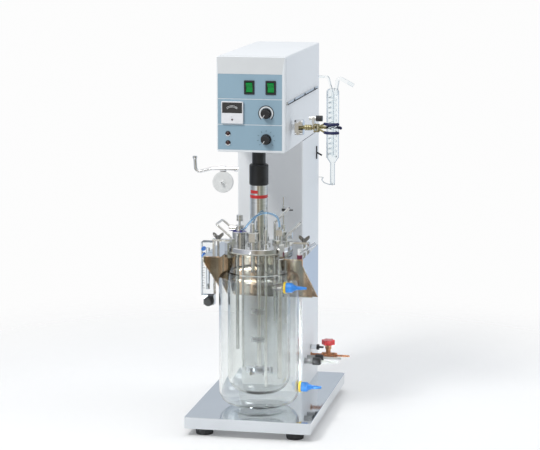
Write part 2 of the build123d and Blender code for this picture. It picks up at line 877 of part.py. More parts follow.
with BuildPart() as turbines:
    add(make_turbine(shelf_top - top_turbine_drop, upper_turbine_radius, turbine_blade_height, 4))
    add(make_turbine(shelf_top - middle_turbine_drop, upper_turbine_radius, turbine_blade_height, 4))
    add(make_turbine(lower_turbine_level, lower_turbine_radius, lower_blade_height, 6))
finish(turbines, "turbines")


# ================================================================ vessel
# Jacketed vessel, blown and sealed as one: the inner vessel, and the jacket with its two hose nozzles.
# The two solids meet at the ring seal under the neck.
inner_bottom = shelf_top - vessel_depth
jacket_bottom = shelf_top - jacket_depth
shoulder_top = shelf_top - neck_length
cone_foot = shoulder_top - shoulder_height
jacket_inner_radius = jacket_radius - jacket_wall
upper_nozzle_z = shelf_top - upper_nozzle_drop
lower_nozzle_z = shelf_top - lower_nozzle_drop
upper_nozzle_y = axis_y - upper_nozzle_forward


def nozzle_reach(forward):
    """Where a nozzle set this far forward of the axis leaves the jacket, and where its hose cap starts."""
    root = sqrt(jacket_inner_radius ** 2 - forward ** 2)
    nearest = max(forward - collar_radius, 0)
    return root, sqrt(jacket_radius ** 2 - nearest ** 2) + collar_standoff


nozzles = (
    (upper_nozzle_y, upper_nozzle_z, *nozzle_reach(upper_nozzle_forward)),
    (axis_y, lower_nozzle_z, *nozzle_reach(0)),
)


def corner_of(sketch, radius, side):
    """Corner of a turned section at this radius: the lowest with side 0, the highest with side -1."""
    return sketch.vertices().filter_by_position(Axis.X, radius - 1, radius + 1).sort_by(Axis.Y)[side]


with BuildPart() as inner_vessel:
    with BuildSketch(section_plane()) as vessel_form:
        with BuildLine():
            Polyline((0, flange_top), (flange_radius, flange_top), (flange_radius, shelf_top),
                     (vessel_radius, shelf_top), (vessel_radius, inner_bottom), (0, inner_bottom),
                     (0, flange_top))
        make_face()
        fillet(corner_of(vessel_form, vessel_radius, 0), vessel_foot_round)
    revolve(axis=upright_axis())
    with BuildSketch(section_plane()) as vessel_space:
        with BuildLine():
            Polyline((0, inner_bottom + vessel_wall), (vessel_inner_radius, inner_bottom + vessel_wall),
                     (vessel_inner_radius, flange_top), (0, flange_top), (0, inner_bottom + vessel_wall))
        make_face()
        fillet(corner_of(vessel_space, vessel_inner_radius, 0), vessel_foot_round - vessel_wall)
    revolve(axis=upright_axis(), mode=Mode.SUBTRACT)
finish(inner_vessel, "inner_vessel")

with BuildPart() as water_jacket:
    with BuildSketch(section_plane()) as jacket_form:
        with BuildLine():
            Polyline((0, shoulder_top), (vessel_radius, shoulder_top), (jacket_radius, cone_foot),
                     (jacket_radius, jacket_bottom), (0, jacket_bottom), (0, shoulder_top))
        make_face()
        fillet(corner_of(jacket_form, jacket_radius, -1), shoulder_round)
        fillet(corner_of(jacket_form, jacket_radius, 0), jacket_foot_round)
    revolve(axis=upright_axis())
    for nozzle_y, nozzle_z, nozzle_root, cap_start in nozzles:
        with BuildSketch(side_plane(nozzle_root, nozzle_y, nozzle_z)):
            Circle(nozzle_radius)
        extrude(amount=cap_start + collar_length + cap_lap - nozzle_root)
    with BuildSketch(section_plane()) as jacket_space:
        with BuildLine():
            Polyline((0, shoulder_top), (vessel_radius, shoulder_top),
                     (vessel_radius, shoulder_top - jacket_wall),
                     (jacket_inner_radius, cone_foot - jacket_wall / 2),
                     (jacket_inner_radius, jacket_bottom + jacket_wall), (0, jacket_bottom + jacket_wall),
                     (0, shoulder_top))
        make_face()
        fillet(corner_of(jacket_space, jacket_inner_radius, -1), shoulder_round - jacket_wall)
        fillet(corner_of(jacket_space, jacket_inner_radius, 0), jacket_foot_round - jacket_wall)
    revolve(axis=upright_axis(), mode=Mode.SUBTRACT)
    for nozzle_y, nozzle_z, nozzle_root, cap_start in nozzles:
        with BuildSketch(side_plane(nozzle_root - jacket_wall, nozzle_y, nozzle_z)):
            Circle(nozzle_bore)
        extrude(amount=cap_start + collar_length + cap_lap - nozzle_root + jacket_wall, mode=Mode.SUBTRACT)

finish(water_jacket, "water_jacket")

# Hose caps screwed on the nozzles: a yellow collar, a blue cap and a ridged barb, bored through
with BuildPart() as hose_caps:
    for nozzle_y, nozzle_z, nozzle_root, start in nozzles:
        profile = Plane(origin=(start, nozzle_y, nozzle_z), x_dir=(1, 0, 0), z_dir=(0, -1, 0))
        end = collar_length + cap_length
        with BuildSketch(profile):
            with BuildLine():
                Polyline((0, nozzle_radius + free_gap), (0, collar_radius), (collar_length, collar_radius),
                         (collar_length, cap_radius), (end, cap_radius), (end + cap_taper, cap_radius * 0.62),
                         (end + cap_taper + barb_pitch, barb_radius + 1.5 * barb_ridge),
                         (end + cap_taper + barb_pitch, barb_radius),
                         (end + cap_taper + 2 * barb_pitch, barb_radius + 1.2 * barb_ridge),
                         (end + cap_taper + 2 * barb_pitch, barb_radius),
                         (end + cap_taper + 3 * barb_pitch, barb_radius + barb_ridge),
                         (end + cap_taper + 3 * barb_pitch, barb_radius),
                         (end + barb_length, barb_radius * 0.8), (end + barb_length, barb_bore),
                         (collar_length + cap_lap, barb_bore), (collar_length + cap_lap, nozzle_radius),
                         (collar_length, nozzle_radius), (collar_length, nozzle_radius + free_gap),
                         (0, nozzle_radius + free_gap))
            make_face()
        revolve(axis=Axis((start, nozzle_y, nozzle_z), (1, 0, 0)))
finish(hose_caps, "hose_caps")


# ================================================================ head plate
# Every hole in the head plate, as (x, y, radius) from the vessel axis
probe_holes = (
    (addition_x - probe_spread, addition_y, electrode_radius),
    (addition_x + probe_spread, addition_y, dosing_radius),
)
plate_holes = (
    (0, 0, shaft_radius + free_gap),
    *probe_holes,
    (gland_x, gland_y, probe_radius),
    (sparge_x, sparge_y, sparge_radius),
    (harvest_x, harvest_y, bent_radius),
    (exhaust_x, exhaust_y, bent_radius),
    (feed_x, feed_y, feed_dip_radius),
)

with BuildPart() as head_plate:
    with BuildSketch(axis_plane(plate_bottom)):
        Circle(plate_radius)
    extrude(amount=plate_height)
    chamfer(head_plate.faces().sort_by(Axis.Z)[-1].edges(), plate_chamfer)
    with BuildSketch(axis_plane(plate_bottom)):
        for hole_x, hole_y, hole_radius in plate_holes:
            with Locations((hole_x, hole_y)):
                Circle(hole_radius)
    extrude(amount=plate_height, mode=Mode.SUBTRACT)
finish(head_plate, "head_plate")

with BuildPart() as plate_gasket:
    with BuildSketch(axis_plane(flange_top)):
        Circle(plate_radius)
        Circle(vessel_inner_radius, mode=Mode.SUBTRACT)
    extrude(amount=gasket_height)
finish(plate_gasket, "plate_gasket")

# Rim clamps: C-shaped blocks that hook under the glass flange, each with a hex screw onto the plate
hook_top = shelf_top - seat_gap
hook_bottom = hook_top - clamp_wall
jaw_inner = flange_radius + free_gap
jaw_outer = jaw_inner + clamp_wall
arm_bottom = plate_top + clamp_lift
arm_top = arm_bottom + clamp_wall
screw_reach = plate_radius - clamp_hex_radius - plate_chamfer
arm_end = screw_reach - clamp_hex_radius
hook_end = vessel_radius + free_gap


def make_rim_clamp(angle):
    outward = Plane(origin=(0, axis_y, 0), x_dir=(cos(radians(angle)), sin(radians(angle)), 0),
                    z_dir=(sin(radians(angle)), -cos(radians(angle)), 0))
    with BuildPart() as clamp:
        with BuildSketch(outward.offset(-clamp_width / 2)) as hook:
            with BuildLine():
                Polyline((arm_end, arm_bottom), (jaw_inner, arm_bottom), (jaw_inner, hook_top),
                         (hook_end, hook_top), (hook_end, hook_bottom), (jaw_outer, hook_bottom),
                         (jaw_outer, arm_top), (arm_end, arm_top), (arm_end, arm_bottom))
            make_face()
            fillet(hook.vertices().sort_by(Axis.X)[-2:], clamp_wall / 2)
        extrude(amount=clamp_width)
        at_screw = axis_plane(0).move(Location((screw_reach * cos(radians(angle)),
                                                screw_reach * sin(radians(angle)), 0)))
        with BuildSketch(at_screw.offset(arm_bottom)):
            Circle(clamp_screw_radius)
        extrude(amount=clamp_wall, mode=Mode.SUBTRACT)
    with BuildPart() as screw:
        with BuildSketch(at_screw.offset(plate_top)):
            Circle(clamp_screw_radius)
        extrude(amount=clamp_lift + clamp_wall)
        with BuildSketch(at_screw.offset(arm_top)):
            RegularPolygon(clamp_hex_radius, 6, rotation=angle)
        extrude(amount=clamp_hex_height)
        chamfer(screw.faces().sort_by(Axis.Z)[-1].edges(), 1)
    return clamp.part, screw.part


with BuildPart() as rim_clamps:
    for clamp_angle in clamp_angles:
        for clamp_piece in make_rim_clamp(clamp_angle):
            add(clamp_piece)
finish(rim_clamps, "rim_clamps")

# Shelf bracket, folded from one mirror-finish sheet: back plate, forked shelf, two wings, bottom return
slot_radius = vessel_radius + slot_clearance
notch_width = clamp_width + 2 * slot_clearance
shelf_underside = shelf_top - bracket_sheet
with BuildPart() as shelf_bracket:
    with BuildSketch(front_plane(column_front)):
        with Locations((0, (shelf_top + bracket_bottom) / 2)):
            Rectangle(2 * bracket_half_width, bracket_drop)
    extrude(amount=bracket_sheet)
    with BuildSketch(Plane.XY.offset(shelf_underside)):
        with Locations((0, (column_front + bracket_front) / 2)):
            Rectangle(2 * bracket_half_width, column_front - bracket_front)
        with Locations((0, axis_y)):
            Circle(slot_radius, mode=Mode.SUBTRACT)
        with Locations((0, (axis_y + bracket_front) / 2)):
            Rectangle(2 * slot_radius, axis_y - bracket_front, mode=Mode.SUBTRACT)
        with Locations((0, axis_y + jaw_outer / 2)):
            Rectangle(notch_width, jaw_outer + 2 * slot_clearance, mode=Mode.SUBTRACT)
    extrude(amount=bracket_sheet)
    for wing_x in (-bracket_half_width, bracket_half_width - bracket_sheet):
        with BuildSketch(side_plane(wing_x, 0, 0)):
            with BuildLine():
                Polyline((column_front, shelf_top), (bracket_front, shelf_top),
                         (bracket_front, shelf_top - wing_front_height), (column_front, bracket_bottom),
                         (column_front, shelf_top))
            make_face()
        extrude(amount=bracket_sheet)
    with BuildSketch(Plane.XY.offset(bracket_bottom)):
        with Locations((0, column_front - bracket_return / 2)):
            Rectangle(2 * (bracket_half_width - bracket_return), bracket_return)
    extrude(amount=bracket_sheet)
finish(shelf_bracket, "shelf_bracket")

# Hold-down dogs: each bears on the plate's rim and on its own heel, pulled down by a stud in the shelf
hold_down_y = axis_y + hold_down_back
dog_tip = sqrt(plate_radius ** 2 - hold_down_back ** 2) - dog_lap
dog_heel = hold_down_x + stud_radius + dog_thickness
with BuildPart() as hold_down_dogs:
    for side in (-1, 1):
        with BuildSketch(front_plane(hold_down_y - dog_width / 2)) as dog:
            with BuildLine():
                Polyline((side * dog_tip, plate_top), (side * dog_tip, plate_top + dog_thickness),
                         (side * (dog_heel + dog_thickness), plate_top + dog_thickness),
                         (side * (dog_heel + dog_thickness), shelf_top), (side * dog_heel, shelf_top),
                         (side * dog_heel, plate_top), (side * dog_tip, plate_top))
            make_face()
        extrude(amount=-dog_width)
        with BuildSketch(Plane(origin=(side * hold_down_x, hold_down_y, plate_top))):
            Circle(stud_radius)
        extrude(amount=dog_thickness, mode=Mode.SUBTRACT)
    for side in (-1, 1):
        with BuildSketch(Plane(origin=(side * hold_down_x, hold_down_y, shelf_top))):
            Circle(stud_radius)
        extrude(amount=stud_height)
finish(hold_down_dogs, "hold_down_dogs")


def make_wing_nut(side, label):
    """Wing nut: a bored cone with two ears that rise from it."""
    nut_x = side * hold_down_x
    nut_bottom = plate_top + dog_thickness
    with BuildPart() as nut:
        with BuildSketch(Plane(origin=(nut_x, hold_down_y, nut_bottom))):
            Circle(wing_hub_radius)
        extrude(amount=wing_hub_height, taper=10)
        with BuildSketch(front_plane(hold_down_y + stud_radius / 2)):
            for ear in (-1, 1):
                with BuildLine():
                    Polyline((nut_x, nut_bottom + 1), (nut_x + ear * wing_hub_radius, nut_bottom + 1),
                             (nut_x + ear * wing_span / 2, nut_bottom + wing_rise),
                             (nut_x + ear * wing_span / 2, nut_bottom + wing_rise + 6),
                             (nut_x + ear * wing_span / 3, nut_bottom + wing_rise + 6),
                             (nut_x, nut_bottom + wing_hub_height), (nut_x, nut_bottom + 1))
                make_face()
        extrude(amount=stud_radius)
        with BuildSketch(Plane(origin=(nut_x, hold_down_y, nut_bottom))):
            Circle(stud_radius + running_gap)
        extrude(amount=wing_rise + 6, mode=Mode.SUBTRACT)
    finish(nut, label)


make_wing_nut(-1, "left_wing_nut")
make_wing_nut(1, "right_wing_nut")


# ================================================================ fittings on the head plate
def plate_plane(x, y, rise=0.0):
    """Level plane above the plate's top, centred on a fitting placed from the vessel axis."""
    return Plane(origin=(x, axis_y + y, plate_top + rise))


def make_rod(points, radius, bend):
    """Round bar along straight runs with every corner bent to one radius."""
    with BuildPart() as rod:
        with BuildLine() as route:
            if len(points) > 2:
                FilletPolyline(*points, radius=bend)
            else:
                Line(*points)
        with BuildSketch(Plane(origin=route.line @ 0, z_dir=route.line % 0)):
            Circle(radius)
        sweep(path=route.line)
    return rod.part


def make_turned(profile, origin, direction, bore=0.0):
    """Solid turned about the line from origin along direction, from (radius, distance) pairs."""
    along = Vector(*direction).normalized()
    across = Vector(0, 0, 1) if abs(along.Z) < 0.5 else Vector(1, 0, 0)
    with BuildPart() as turned:
        with BuildSketch(Plane(origin=origin, x_dir=across, z_dir=across.cross(along))):
            with BuildLine():
                Polyline((bore, profile[0][1]), *profile, (bore, profile[-1][1]), close=True)
            make_face()
        revolve(axis=Axis(origin, direction))
    return turned.part


def make_barb(origin, direction, radius, length, bore):
    """Bored hose barb with a rounded-off nose."""
    profile = [(radius, 0), (radius, length * 0.75), (radius * 0.8, length)]
    return make_turned(profile, origin, direction, bore)


# Lifting handle: a bent wire whose legs stand on the plate and lean outwards
handle_top = plate_top + handle_leg + handle_rise
with BuildPart() as lid_handle:
    add(make_rod([
        (handle_x, axis_y + handle_front, plate_top),
        (handle_x, axis_y + handle_front, plate_top + handle_leg),
        (handle_x - handle_lean, axis_y + handle_front, handle_top),
        (handle_x - handle_lean, axis_y + handle_back, handle_top),
        (handle_x, axis_y + handle_back, plate_top + handle_leg),
        (handle_x, axis_y + handle_back, plate_top),
    ], wire_radius, bend_radius))
finish(lid_handle, "lid_handle")

# Addition port: a wide bored boss, a valve head on it and a capped side outlet
addition_top = addition_height
side_cap_rise = addition_top + addition_head_height / 2
addition_outlet = Vector(0.45, -0.89, 0).normalized()
with BuildPart() as addition_port:
    with BuildSketch(plate_plane(addition_x, addition_y)):
        Circle(addition_radius)
    extrude(amount=addition_height)
    chamfer(addition_port.faces().sort_by(Axis.Z)[-1].edges(), 1.5)
    with BuildSketch(plate_plane(addition_x, addition_y)):
        for hole_x, hole_y, hole_radius in probe_holes:
            with Locations((hole_x - addition_x, hole_y - addition_y)):
                Circle(hole_radius)
    extrude(amount=addition_height * 0.7, mode=Mode.SUBTRACT)
    with BuildSketch(plate_plane(addition_x, addition_y, addition_top)):
        Circle(addition_head_radius)
    extrude(amount=addition_head_height)
    chamfer(addition_port.faces().sort_by(Axis.Z)[-1].edges(), 1.5)
    with BuildSketch(Plane(origin=(addition_x, axis_y + addition_y, plate_top + side_cap_rise),
                           x_dir=(0, 1, 0), z_dir=(-1, 0, 0))):
        Circle(side_cap_radius)
    extrude(amount=addition_head_radius + side_cap_length)
    chamfer(addition_port.faces().sort_by(Axis.X)[0].edges(), 1.5)
    with BuildSketch(Plane(origin=(addition_x, axis_y + addition_y, plate_top + side_cap_rise),
                           z_dir=addition_outlet)):
        Circle(tube_radius)
    extrude(amount=addition_head_radius + feed_stub)
    with BuildSketch(plate_plane(addition_x, addition_y, addition_top + addition_head_height)):
        Circle(addition_stem_radius + running_gap)
    extrude(amount=-addition_head_height / 2, mode=Mode.SUBTRACT)
finish(addition_port, "addition_port")

# Knurled knob on its stem, screwed into the addition port's head
stem_foot = addition_top + addition_head_height / 2
stem_top = addition_top + addition_head_height + addition_stem_length
with BuildPart() as addition_knob:
    with BuildSketch(plate_plane(addition_x, addition_y, stem_foot + free_gap)):
        Circle(addition_stem_radius)
    extrude(amount=stem_top - stem_foot - free_gap)
    with BuildSketch(plate_plane(addition_x, addition_y, stem_top)):
        Circle(addition_knob_radius)
        with PolarLocations(addition_knob_radius + 0.3, 16):
            Circle(0.8, mode=Mode.SUBTRACT)
    extrude(amount=addition_knob_height)
finish(addition_knob, "addition_knob")

# Probes: a thick electrode and a thin dosing pipe under the addition port, a short one in the gland
gland_top = gland_stub_height + gland_hex_height
with BuildPart() as dip_probes:
    for (hole_x, hole_y, probe), length in zip(probe_holes, (electrode_length, dosing_length)):
        with BuildSketch(plate_plane(hole_x, hole_y, addition_height * 0.7)):
            Circle(probe)
        extrude(amount=-(addition_height * 0.7 + length))
    fillet(dip_probes.faces().sort_by(Axis.Z)[0].edges(), dosing_radius / 2)
    with BuildSketch(plate_plane(gland_x, gland_y, -probe_length)):
        Circle(probe_radius)
    extrude(amount=probe_length + gland_top + probe_rise)
    fillet(dip_probes.faces().sort_by(Axis.Z)[-1].edges(), probe_radius * 0.4)
finish(dip_probes, "dip_probes")

# Sensor gland at the front: a stub and a hexagon, bored for the probe it holds
with BuildPart() as sensor_gland:
    with BuildSketch(plate_plane(gland_x, gland_y)):
        Circle(gland_stub_radius)
    extrude(amount=gland_stub_height)
    with BuildSketch(plate_plane(gland_x, gland_y, gland_stub_height)):
        RegularPolygon(gland_hex_radius, 6)
    extrude(amount=gland_hex_height)
    chamfer(sensor_gland.faces().filter_by(Plane.XY).group_by(Axis.Z)[-1].edges(), 1.2)
    chamfer(sensor_gland.faces().filter_by(Plane.XY).sort_by(Axis.Z)[1].outer_wire().edges(), 1.2)
    with BuildSketch(plate_plane(gland_x, gland_y)):
        Circle(probe_radius)
    extrude(amount=gland_top, mode=Mode.SUBTRACT)
finish(sensor_gland, "sensor_gland")



def make_collar(x, y, bore):
    """Turned collar that seals a pipe on the plate."""
    with BuildPart() as collar:
        with BuildSketch(plate_plane(x, y)):
            Circle(collar_ring_radius)
        extrude(amount=collar_ring_height)
        chamfer(collar.faces().sort_by(Axis.Z)[-1].edges(), 1)
        with BuildSketch(plate_plane(x, y)):
            Circle(bore)
        extrude(amount=collar_ring_height, mode=Mode.SUBTRACT)
    return collar.part


# Pipes: a straight sparge pipe to the bottom of the vessel, and two whose tops lean to the right
with BuildPart() as lid_pipes:
    with BuildSketch(plate_plane(sparge_x, sparge_y, -sparge_length)):
        Circle(sparge_radius)
    extrude(amount=sparge_length + sparge_rise)
    fillet(lid_pipes.faces().sort_by(Axis.Z)[0].edges(), sparge_radius / 2)
    add(make_collar(sparge_x, sparge_y, sparge_radius))
    bent_pipes = ((harvest_x, harvest_y, harvest_rise), (exhaust_x, exhaust_y, exhaust_rise))
    for pipe_x, pipe_y, rise in bent_pipes:
        foot = (pipe_x, axis_y + pipe_y, plate_top - bent_depth)
        elbow = (pipe_x, axis_y + pipe_y, plate_top + rise)
        tip = (pipe_x + bent_reach, axis_y + pipe_y, plate_top + rise + bent_reach)
        add(make_rod([foot, elbow, tip], bent_radius, bend_radius * 1.5))
        add(make_collar(pipe_x, pipe_y, bent_radius))
        with BuildSketch(Plane(origin=tip, z_dir=(-1, 0, -1))):
            Circle(bent_bore)
        extrude(amount=bent_reach / 2, mode=Mode.SUBTRACT)
finish(lid_pipes, "lid_pipes")

# Feed port: a column with a cubic head, and its dip tube through the plate
feed_head = feed_column_height + feed_cube
with BuildPart() as feed_port:
    with BuildSketch(plate_plane(feed_x, feed_y)):
        Circle(feed_column_radius)
    extrude(amount=feed_column_height)
    with BuildSketch(plate_plane(feed_x, feed_y, feed_column_height)):
        Rectangle(feed_cube, feed_cube)
    extrude(amount=feed_cube)
    chamfer(feed_port.faces().filter_by(Plane.XY).sort_by(Axis.Z)[-1].edges(), 1)
    with BuildSketch(plate_plane(feed_x, feed_y, feed_head)):
        Circle(tube_radius)
    extrude(amount=feed_stub)
    with BuildSketch(plate_plane(feed_x, feed_y)):
        Circle(feed_dip_radius)
    extrude(amount=-feed_dip_length)
    fillet(feed_port.faces().sort_by(Axis.Z)[0].edges(), feed_dip_radius / 2)
finish(feed_port, "feed_port")

# Sampler: a base with a needle knob on its right, a body, and a tall rod
sampler_shoulder = sampler_base_height + sampler_body_height
with BuildPart() as sampler:
    with BuildSketch(plate_plane(sampler_x, sampler_y)):
        Circle(sampler_base_radius)
    extrude(amount=sampler_base_height)
    chamfer(sampler.faces().sort_by(Axis.Z)[-1].edges(), 1)
    with BuildSketch(plate_plane(sampler_x, sampler_y, sampler_base_height)):
        Circle(sampler_body_radius)
    extrude(amount=sampler_body_height)
    chamfer(sampler.faces().sort_by(Axis.Z)[-1].edges(), 1)
    with BuildSketch(plate_plane(sampler_x, sampler_y, sampler_shoulder)):
        Circle(sampler_rod_radius)
    extrude(amount=sampler_rod_length)
    with BuildSketch(side_plane(sampler_x, axis_y + sampler_y, plate_top + sampler_base_height * 0.62)):
        Circle(sampler_rod_radius)
    extrude(amount=sampler_base_radius + needle_knob_length)
    with BuildSketch(side_plane(sampler_x + sampler_base_radius + 2, axis_y + sampler_y,
                                plate_top + sampler_base_height * 0.62)):
        Circle(needle_knob_radius)
        with PolarLocations(needle_knob_radius + 0.4, 12):
            Circle(1, mode=Mode.SUBTRACT)
    extrude(amount=needle_knob_length)
finish(sampler, "sampler")

# Sampler lever: a collar that turns on the rod, with a short arm to the right
lever_z = plate_top + sampler_shoulder + sampler_rod_length - lever_drop
lever_collar = sampler_rod_radius + 2.2
with BuildPart() as sampler_lever:
    with BuildSketch(Plane(origin=(sampler_x, axis_y + sampler_y, lever_z - lever_collar_height / 2))):
        Circle(lever_collar)
    extrude(amount=lever_collar_height)
    with BuildSketch(side_plane(sampler_x, axis_y + sampler_y, lever_z)):
        Circle(lever_radius)
    extrude(amount=lever_collar + lever_length)
    fillet(sampler_lever.faces().sort_by(Axis.X)[-1].edges(), lever_radius / 2)
    with BuildSketch(Plane(origin=(sampler_x, axis_y + sampler_y, lever_z - lever_collar_height / 2))):
        Circle(sampler_rod_radius + running_gap)
    extrude(amount=lever_collar_height, mode=Mode.SUBTRACT)
finish(sampler_lever, "sampler_lever")


# ================================================================ rotameter
rotameter_x = -bracket_half_width - rotameter_side / 2
rotameter_y = column_front - rotameter_forward
rotameter_foot = shelf_top - rotameter_drop
rotameter_top = rotameter_foot + rotameter_height
bore_foot = rotameter_foot + rotameter_end
bore_top = rotameter_top - rotameter_end
with BuildPart() as rotameter_body:
    with BuildSketch(Plane(origin=(rotameter_x, rotameter_y, rotameter_foot))):
        Rectangle(rotameter_side, rotameter_side)
    extrude(amount=rotameter_height)
    chamfer(rotameter_body.edges().filter_by(Axis.Z), 0.8)
    with BuildSketch(section_plane(rotameter_x, rotameter_y)):
        with BuildLine():
            Polyline((0, bore_foot), (rotameter_bore, bore_foot), (rotameter_bore + 0.5, bore_top),
                     (0, bore_top), (0, bore_foot))
        make_face()
    revolve(axis=upright_axis(rotameter_x, rotameter_y), mode=Mode.SUBTRACT)
finish(rotameter_body, "rotameter_body")

# Float: a plumb-shaped weight that rides in the tapered bore
with BuildPart() as rotameter_float:
    with BuildSketch(section_plane(rotameter_x, rotameter_y)):
        with BuildLine():
            Polyline((0, bore_foot), (float_radius * 0.4, bore_foot + float_height * 0.15),
                     (float_radius * 0.7, bore_foot + float_height * 0.7),
                     (float_radius, bore_foot + float_height * 0.8),
                     (float_radius, bore_foot + float_height), (0, bore_foot + float_height),
                     (0, bore_foot))
        make_face()
    revolve(axis=upright_axis(rotameter_x, rotameter_y))
finish(rotameter_float, "rotameter_float")

# Valve block under the body, and two hose fittings on the body's front
block_x = -bracket_half_width - valve_block_side / 2
block_foot = rotameter_foot - valve_block_height
block_front = rotameter_y - valve_block_side / 2
rotameter_front = rotameter_y - rotameter_side / 2
knob_axis_x = -bracket_half_width - rotameter_knob_in
knob_axis_z = rotameter_foot - valve_block_height / 2
stem_reach = valve_block_side / 2
knob_plane = Plane(origin=(knob_axis_x, block_front, knob_axis_z), x_dir=(1, 0, 0), z_dir=(0, -1, 0))
with BuildPart() as rotameter_fittings:
    with BuildSketch(Plane(origin=(block_x, rotameter_y, block_foot))):
        Rectangle(valve_block_side, valve_block_side)
    extrude(amount=valve_block_height)
    chamfer(rotameter_fittings.edges().filter_by(Axis.Z), 1)
    with BuildSketch(knob_plane):
        Circle(rotameter_stem_radius + running_gap)
    extrude(amount=-stem_reach, mode=Mode.SUBTRACT)
    for drop in (upper_elbow_drop, lower_elbow_drop):
        add(make_turned([(elbow_radius, 0), (elbow_radius, elbow_length * 0.35),
                         (elbow_radius * 0.6, elbow_length * 0.4), (elbow_radius * 0.6, elbow_length * 0.7),
                         (elbow_radius * 0.8, elbow_length * 0.75), (elbow_radius * 0.8, elbow_length)],
                        (-bracket_half_width - elbow_in, rotameter_front, rotameter_top - drop),
                        (0, -1, 0)))
finish(rotameter_fittings, "rotameter_fittings")

# Ribbed valve knob at the front of the block
with BuildPart() as rotameter_knob:
    add(make_turned([(rotameter_stem_radius, free_gap), (rotameter_stem_radius, stem_reach + free_gap)],
                    (knob_axis_x, block_front + stem_reach, knob_axis_z), (0, -1, 0)))
    with BuildSketch(knob_plane.offset(free_gap)):
        Circle(rotameter_knob_radius)
        with PolarLocations(rotameter_knob_radius + 0.5, 18):
            Circle(1.2, mode=Mode.SUBTRACT)
    extrude(amount=rotameter_knob_length * 0.8)
    with BuildSketch(knob_plane.offset(free_gap)):
        Circle(rotameter_knob_radius * 0.8)
    extrude(amount=rotameter_knob_length)
    chamfer(rotameter_knob.faces().sort_by(Axis.Y)[0].edges(), 1)
finish(rotameter_knob, "rotameter_knob")


# ================================================================ filter arm on the column's left side
arm_y = column_front + arm_setback
arm_z = head_bottom - arm_drop
arm_start = -head_side - arm_boss_length
arm_bend = -head_side - arm_reach
arm_low = (arm_bend - arm_slope_reach, arm_y, arm_z - arm_slope_fall)
arm_tip = (arm_low[0] - 2, arm_y, arm_z - arm_slope_fall + arm_rise)
clip_x = -head_side - filter_in
filter_z = arm_z - filter_drop
clip_back = arm_y + filter_thickness / 2
with BuildPart() as filter_arm:
    add(make_turned([(arm_boss_radius + 2, 0), (arm_boss_radius + 2, 2), (arm_boss_radius, 2),
                     (arm_boss_radius, arm_boss_length)], (-head_side, arm_y, arm_z), (-1, 0, 0)))
    add(make_rod([(arm_start, arm_y, arm_z), (arm_bend, arm_y, arm_z), arm_low, arm_tip],
                 arm_radius, bend_radius * 1.5))
    add(make_turned([(arm_radius, 0), (arm_mouth_radius, arm_mouth_length / 2),
                     (arm_mouth_radius, arm_mouth_length)],
                    (arm_tip[0], arm_y, arm_tip[2] - arm_mouth_length), (0, 0, 1)))
    with BuildSketch(Plane(origin=(arm_tip[0], arm_y, arm_tip[2]))):
        Circle(arm_bore)
    extrude(amount=-2 * arm_mouth_length, mode=Mode.SUBTRACT)
    with BuildSketch(side_plane(clip_x - clip_width / 2, arm_y, arm_z)):
        Circle(clip_radius)
    extrude(amount=clip_width)
    with BuildSketch(front_plane(clip_back + clip_sheet)):
        with Locations((clip_x, arm_z - filter_drop * 0.36)):
            Rectangle(clip_width, filter_drop * 0.72)
    extrude(amount=clip_sheet)
finish(filter_arm, "filter_arm")

# Air filter: a flat disc with a thicker middle and a barb on each face
filter_rim = filter_thickness / 2
with BuildPart() as air_filter:
    add(make_turned([(filter_radius - 1.5, -filter_rim), (filter_radius, -filter_rim + 1),
                     (filter_radius, filter_rim - 1), (filter_radius - 1.5, filter_rim)],
                    (clip_x, arm_y, filter_z), (0, 1, 0)))
    for way in (-1, 1):
        add(make_turned([(filter_barb_radius + 3, 0), (filter_barb_radius + 3, 2), (filter_barb_radius, 3),
                         (filter_barb_radius, filter_barb_length * 0.75),
                         (filter_barb_radius * 0.8, filter_barb_length)],
                        (clip_x, arm_y + way * filter_rim, filter_z), (0, way, 0)))
        with BuildSketch(Plane(origin=(clip_x, arm_y + way * (filter_rim + filter_barb_length), filter_z),
                               x_dir=(1, 0, 0), z_dir=(0, way, 0))):
            Circle(filter_barb_radius / 2)
        extrude(amount=-filter_barb_length, mode=Mode.SUBTRACT)
finish(air_filter, "air_filter")


# ================================================================ water connections on the right side
water_z = base_top + water_height
socket_rows = (
    (column_front + inlet_setback, inlet_socket_radius),
    (column_front + outlet_setback, outlet_socket_radius),
)
union_start = head_side + socket_length
barb_start = union_start + union_length
valve_y = column_front + valve_setback
valve_z = base_top + valve_height
vent_z = valve_z + vent_rise


def make_ribbed(radius, length, ribs):
    """Profile of a round body with shallow ribs."""
    profile = [(radius, 0)]
    pitch = length / ribs
    for rib in range(ribs):
        profile += [(radius, (rib + 0.6) * pitch), (radius - 0.8, (rib + 0.7) * pitch),
                    (radius - 0.8, (rib + 0.9) * pitch), (radius, (rib + 1) * pitch)]
    return profile


with BuildPart() as water_sockets:
    for row_y, radius in socket_rows:
        add(make_turned(make_ribbed(radius, socket_length, 4), (head_side, row_y, water_z), (1, 0, 0)))
        add(make_turned([(sleeve_radius, 0), (sleeve_radius, union_length)],
                        (union_start, row_y, water_z), (1, 0, 0)))
        add(make_barb((barb_start, row_y, water_z), (1, 0, 0), water_barb_radius, water_barb_length,
                      water_barb_radius / 2))
finish(water_sockets, "water_sockets")

# Black union nuts on the sockets, and the black vent with its elbow above the valve
with BuildPart() as union_nuts:
    for row_y, radius in socket_rows:
        add(make_turned([(radius + union_flange, 0), (radius + union_flange, union_length * 0.8),
                         (radius, union_length)], (union_start, row_y, water_z), (1, 0, 0), sleeve_radius))
    add(make_turned([(vent_radius, 0), (vent_radius, vent_length), (vent_disc_radius, vent_length),
                     (vent_disc_radius, vent_length + vent_disc_length),
                     (tube_radius, vent_length + vent_disc_length),
                     (tube_radius, vent_length + vent_disc_length + vent_tube_length)],
                    (head_side, valve_y, vent_z), (1, 0, 0)))
finish(union_nuts, "union_nuts")

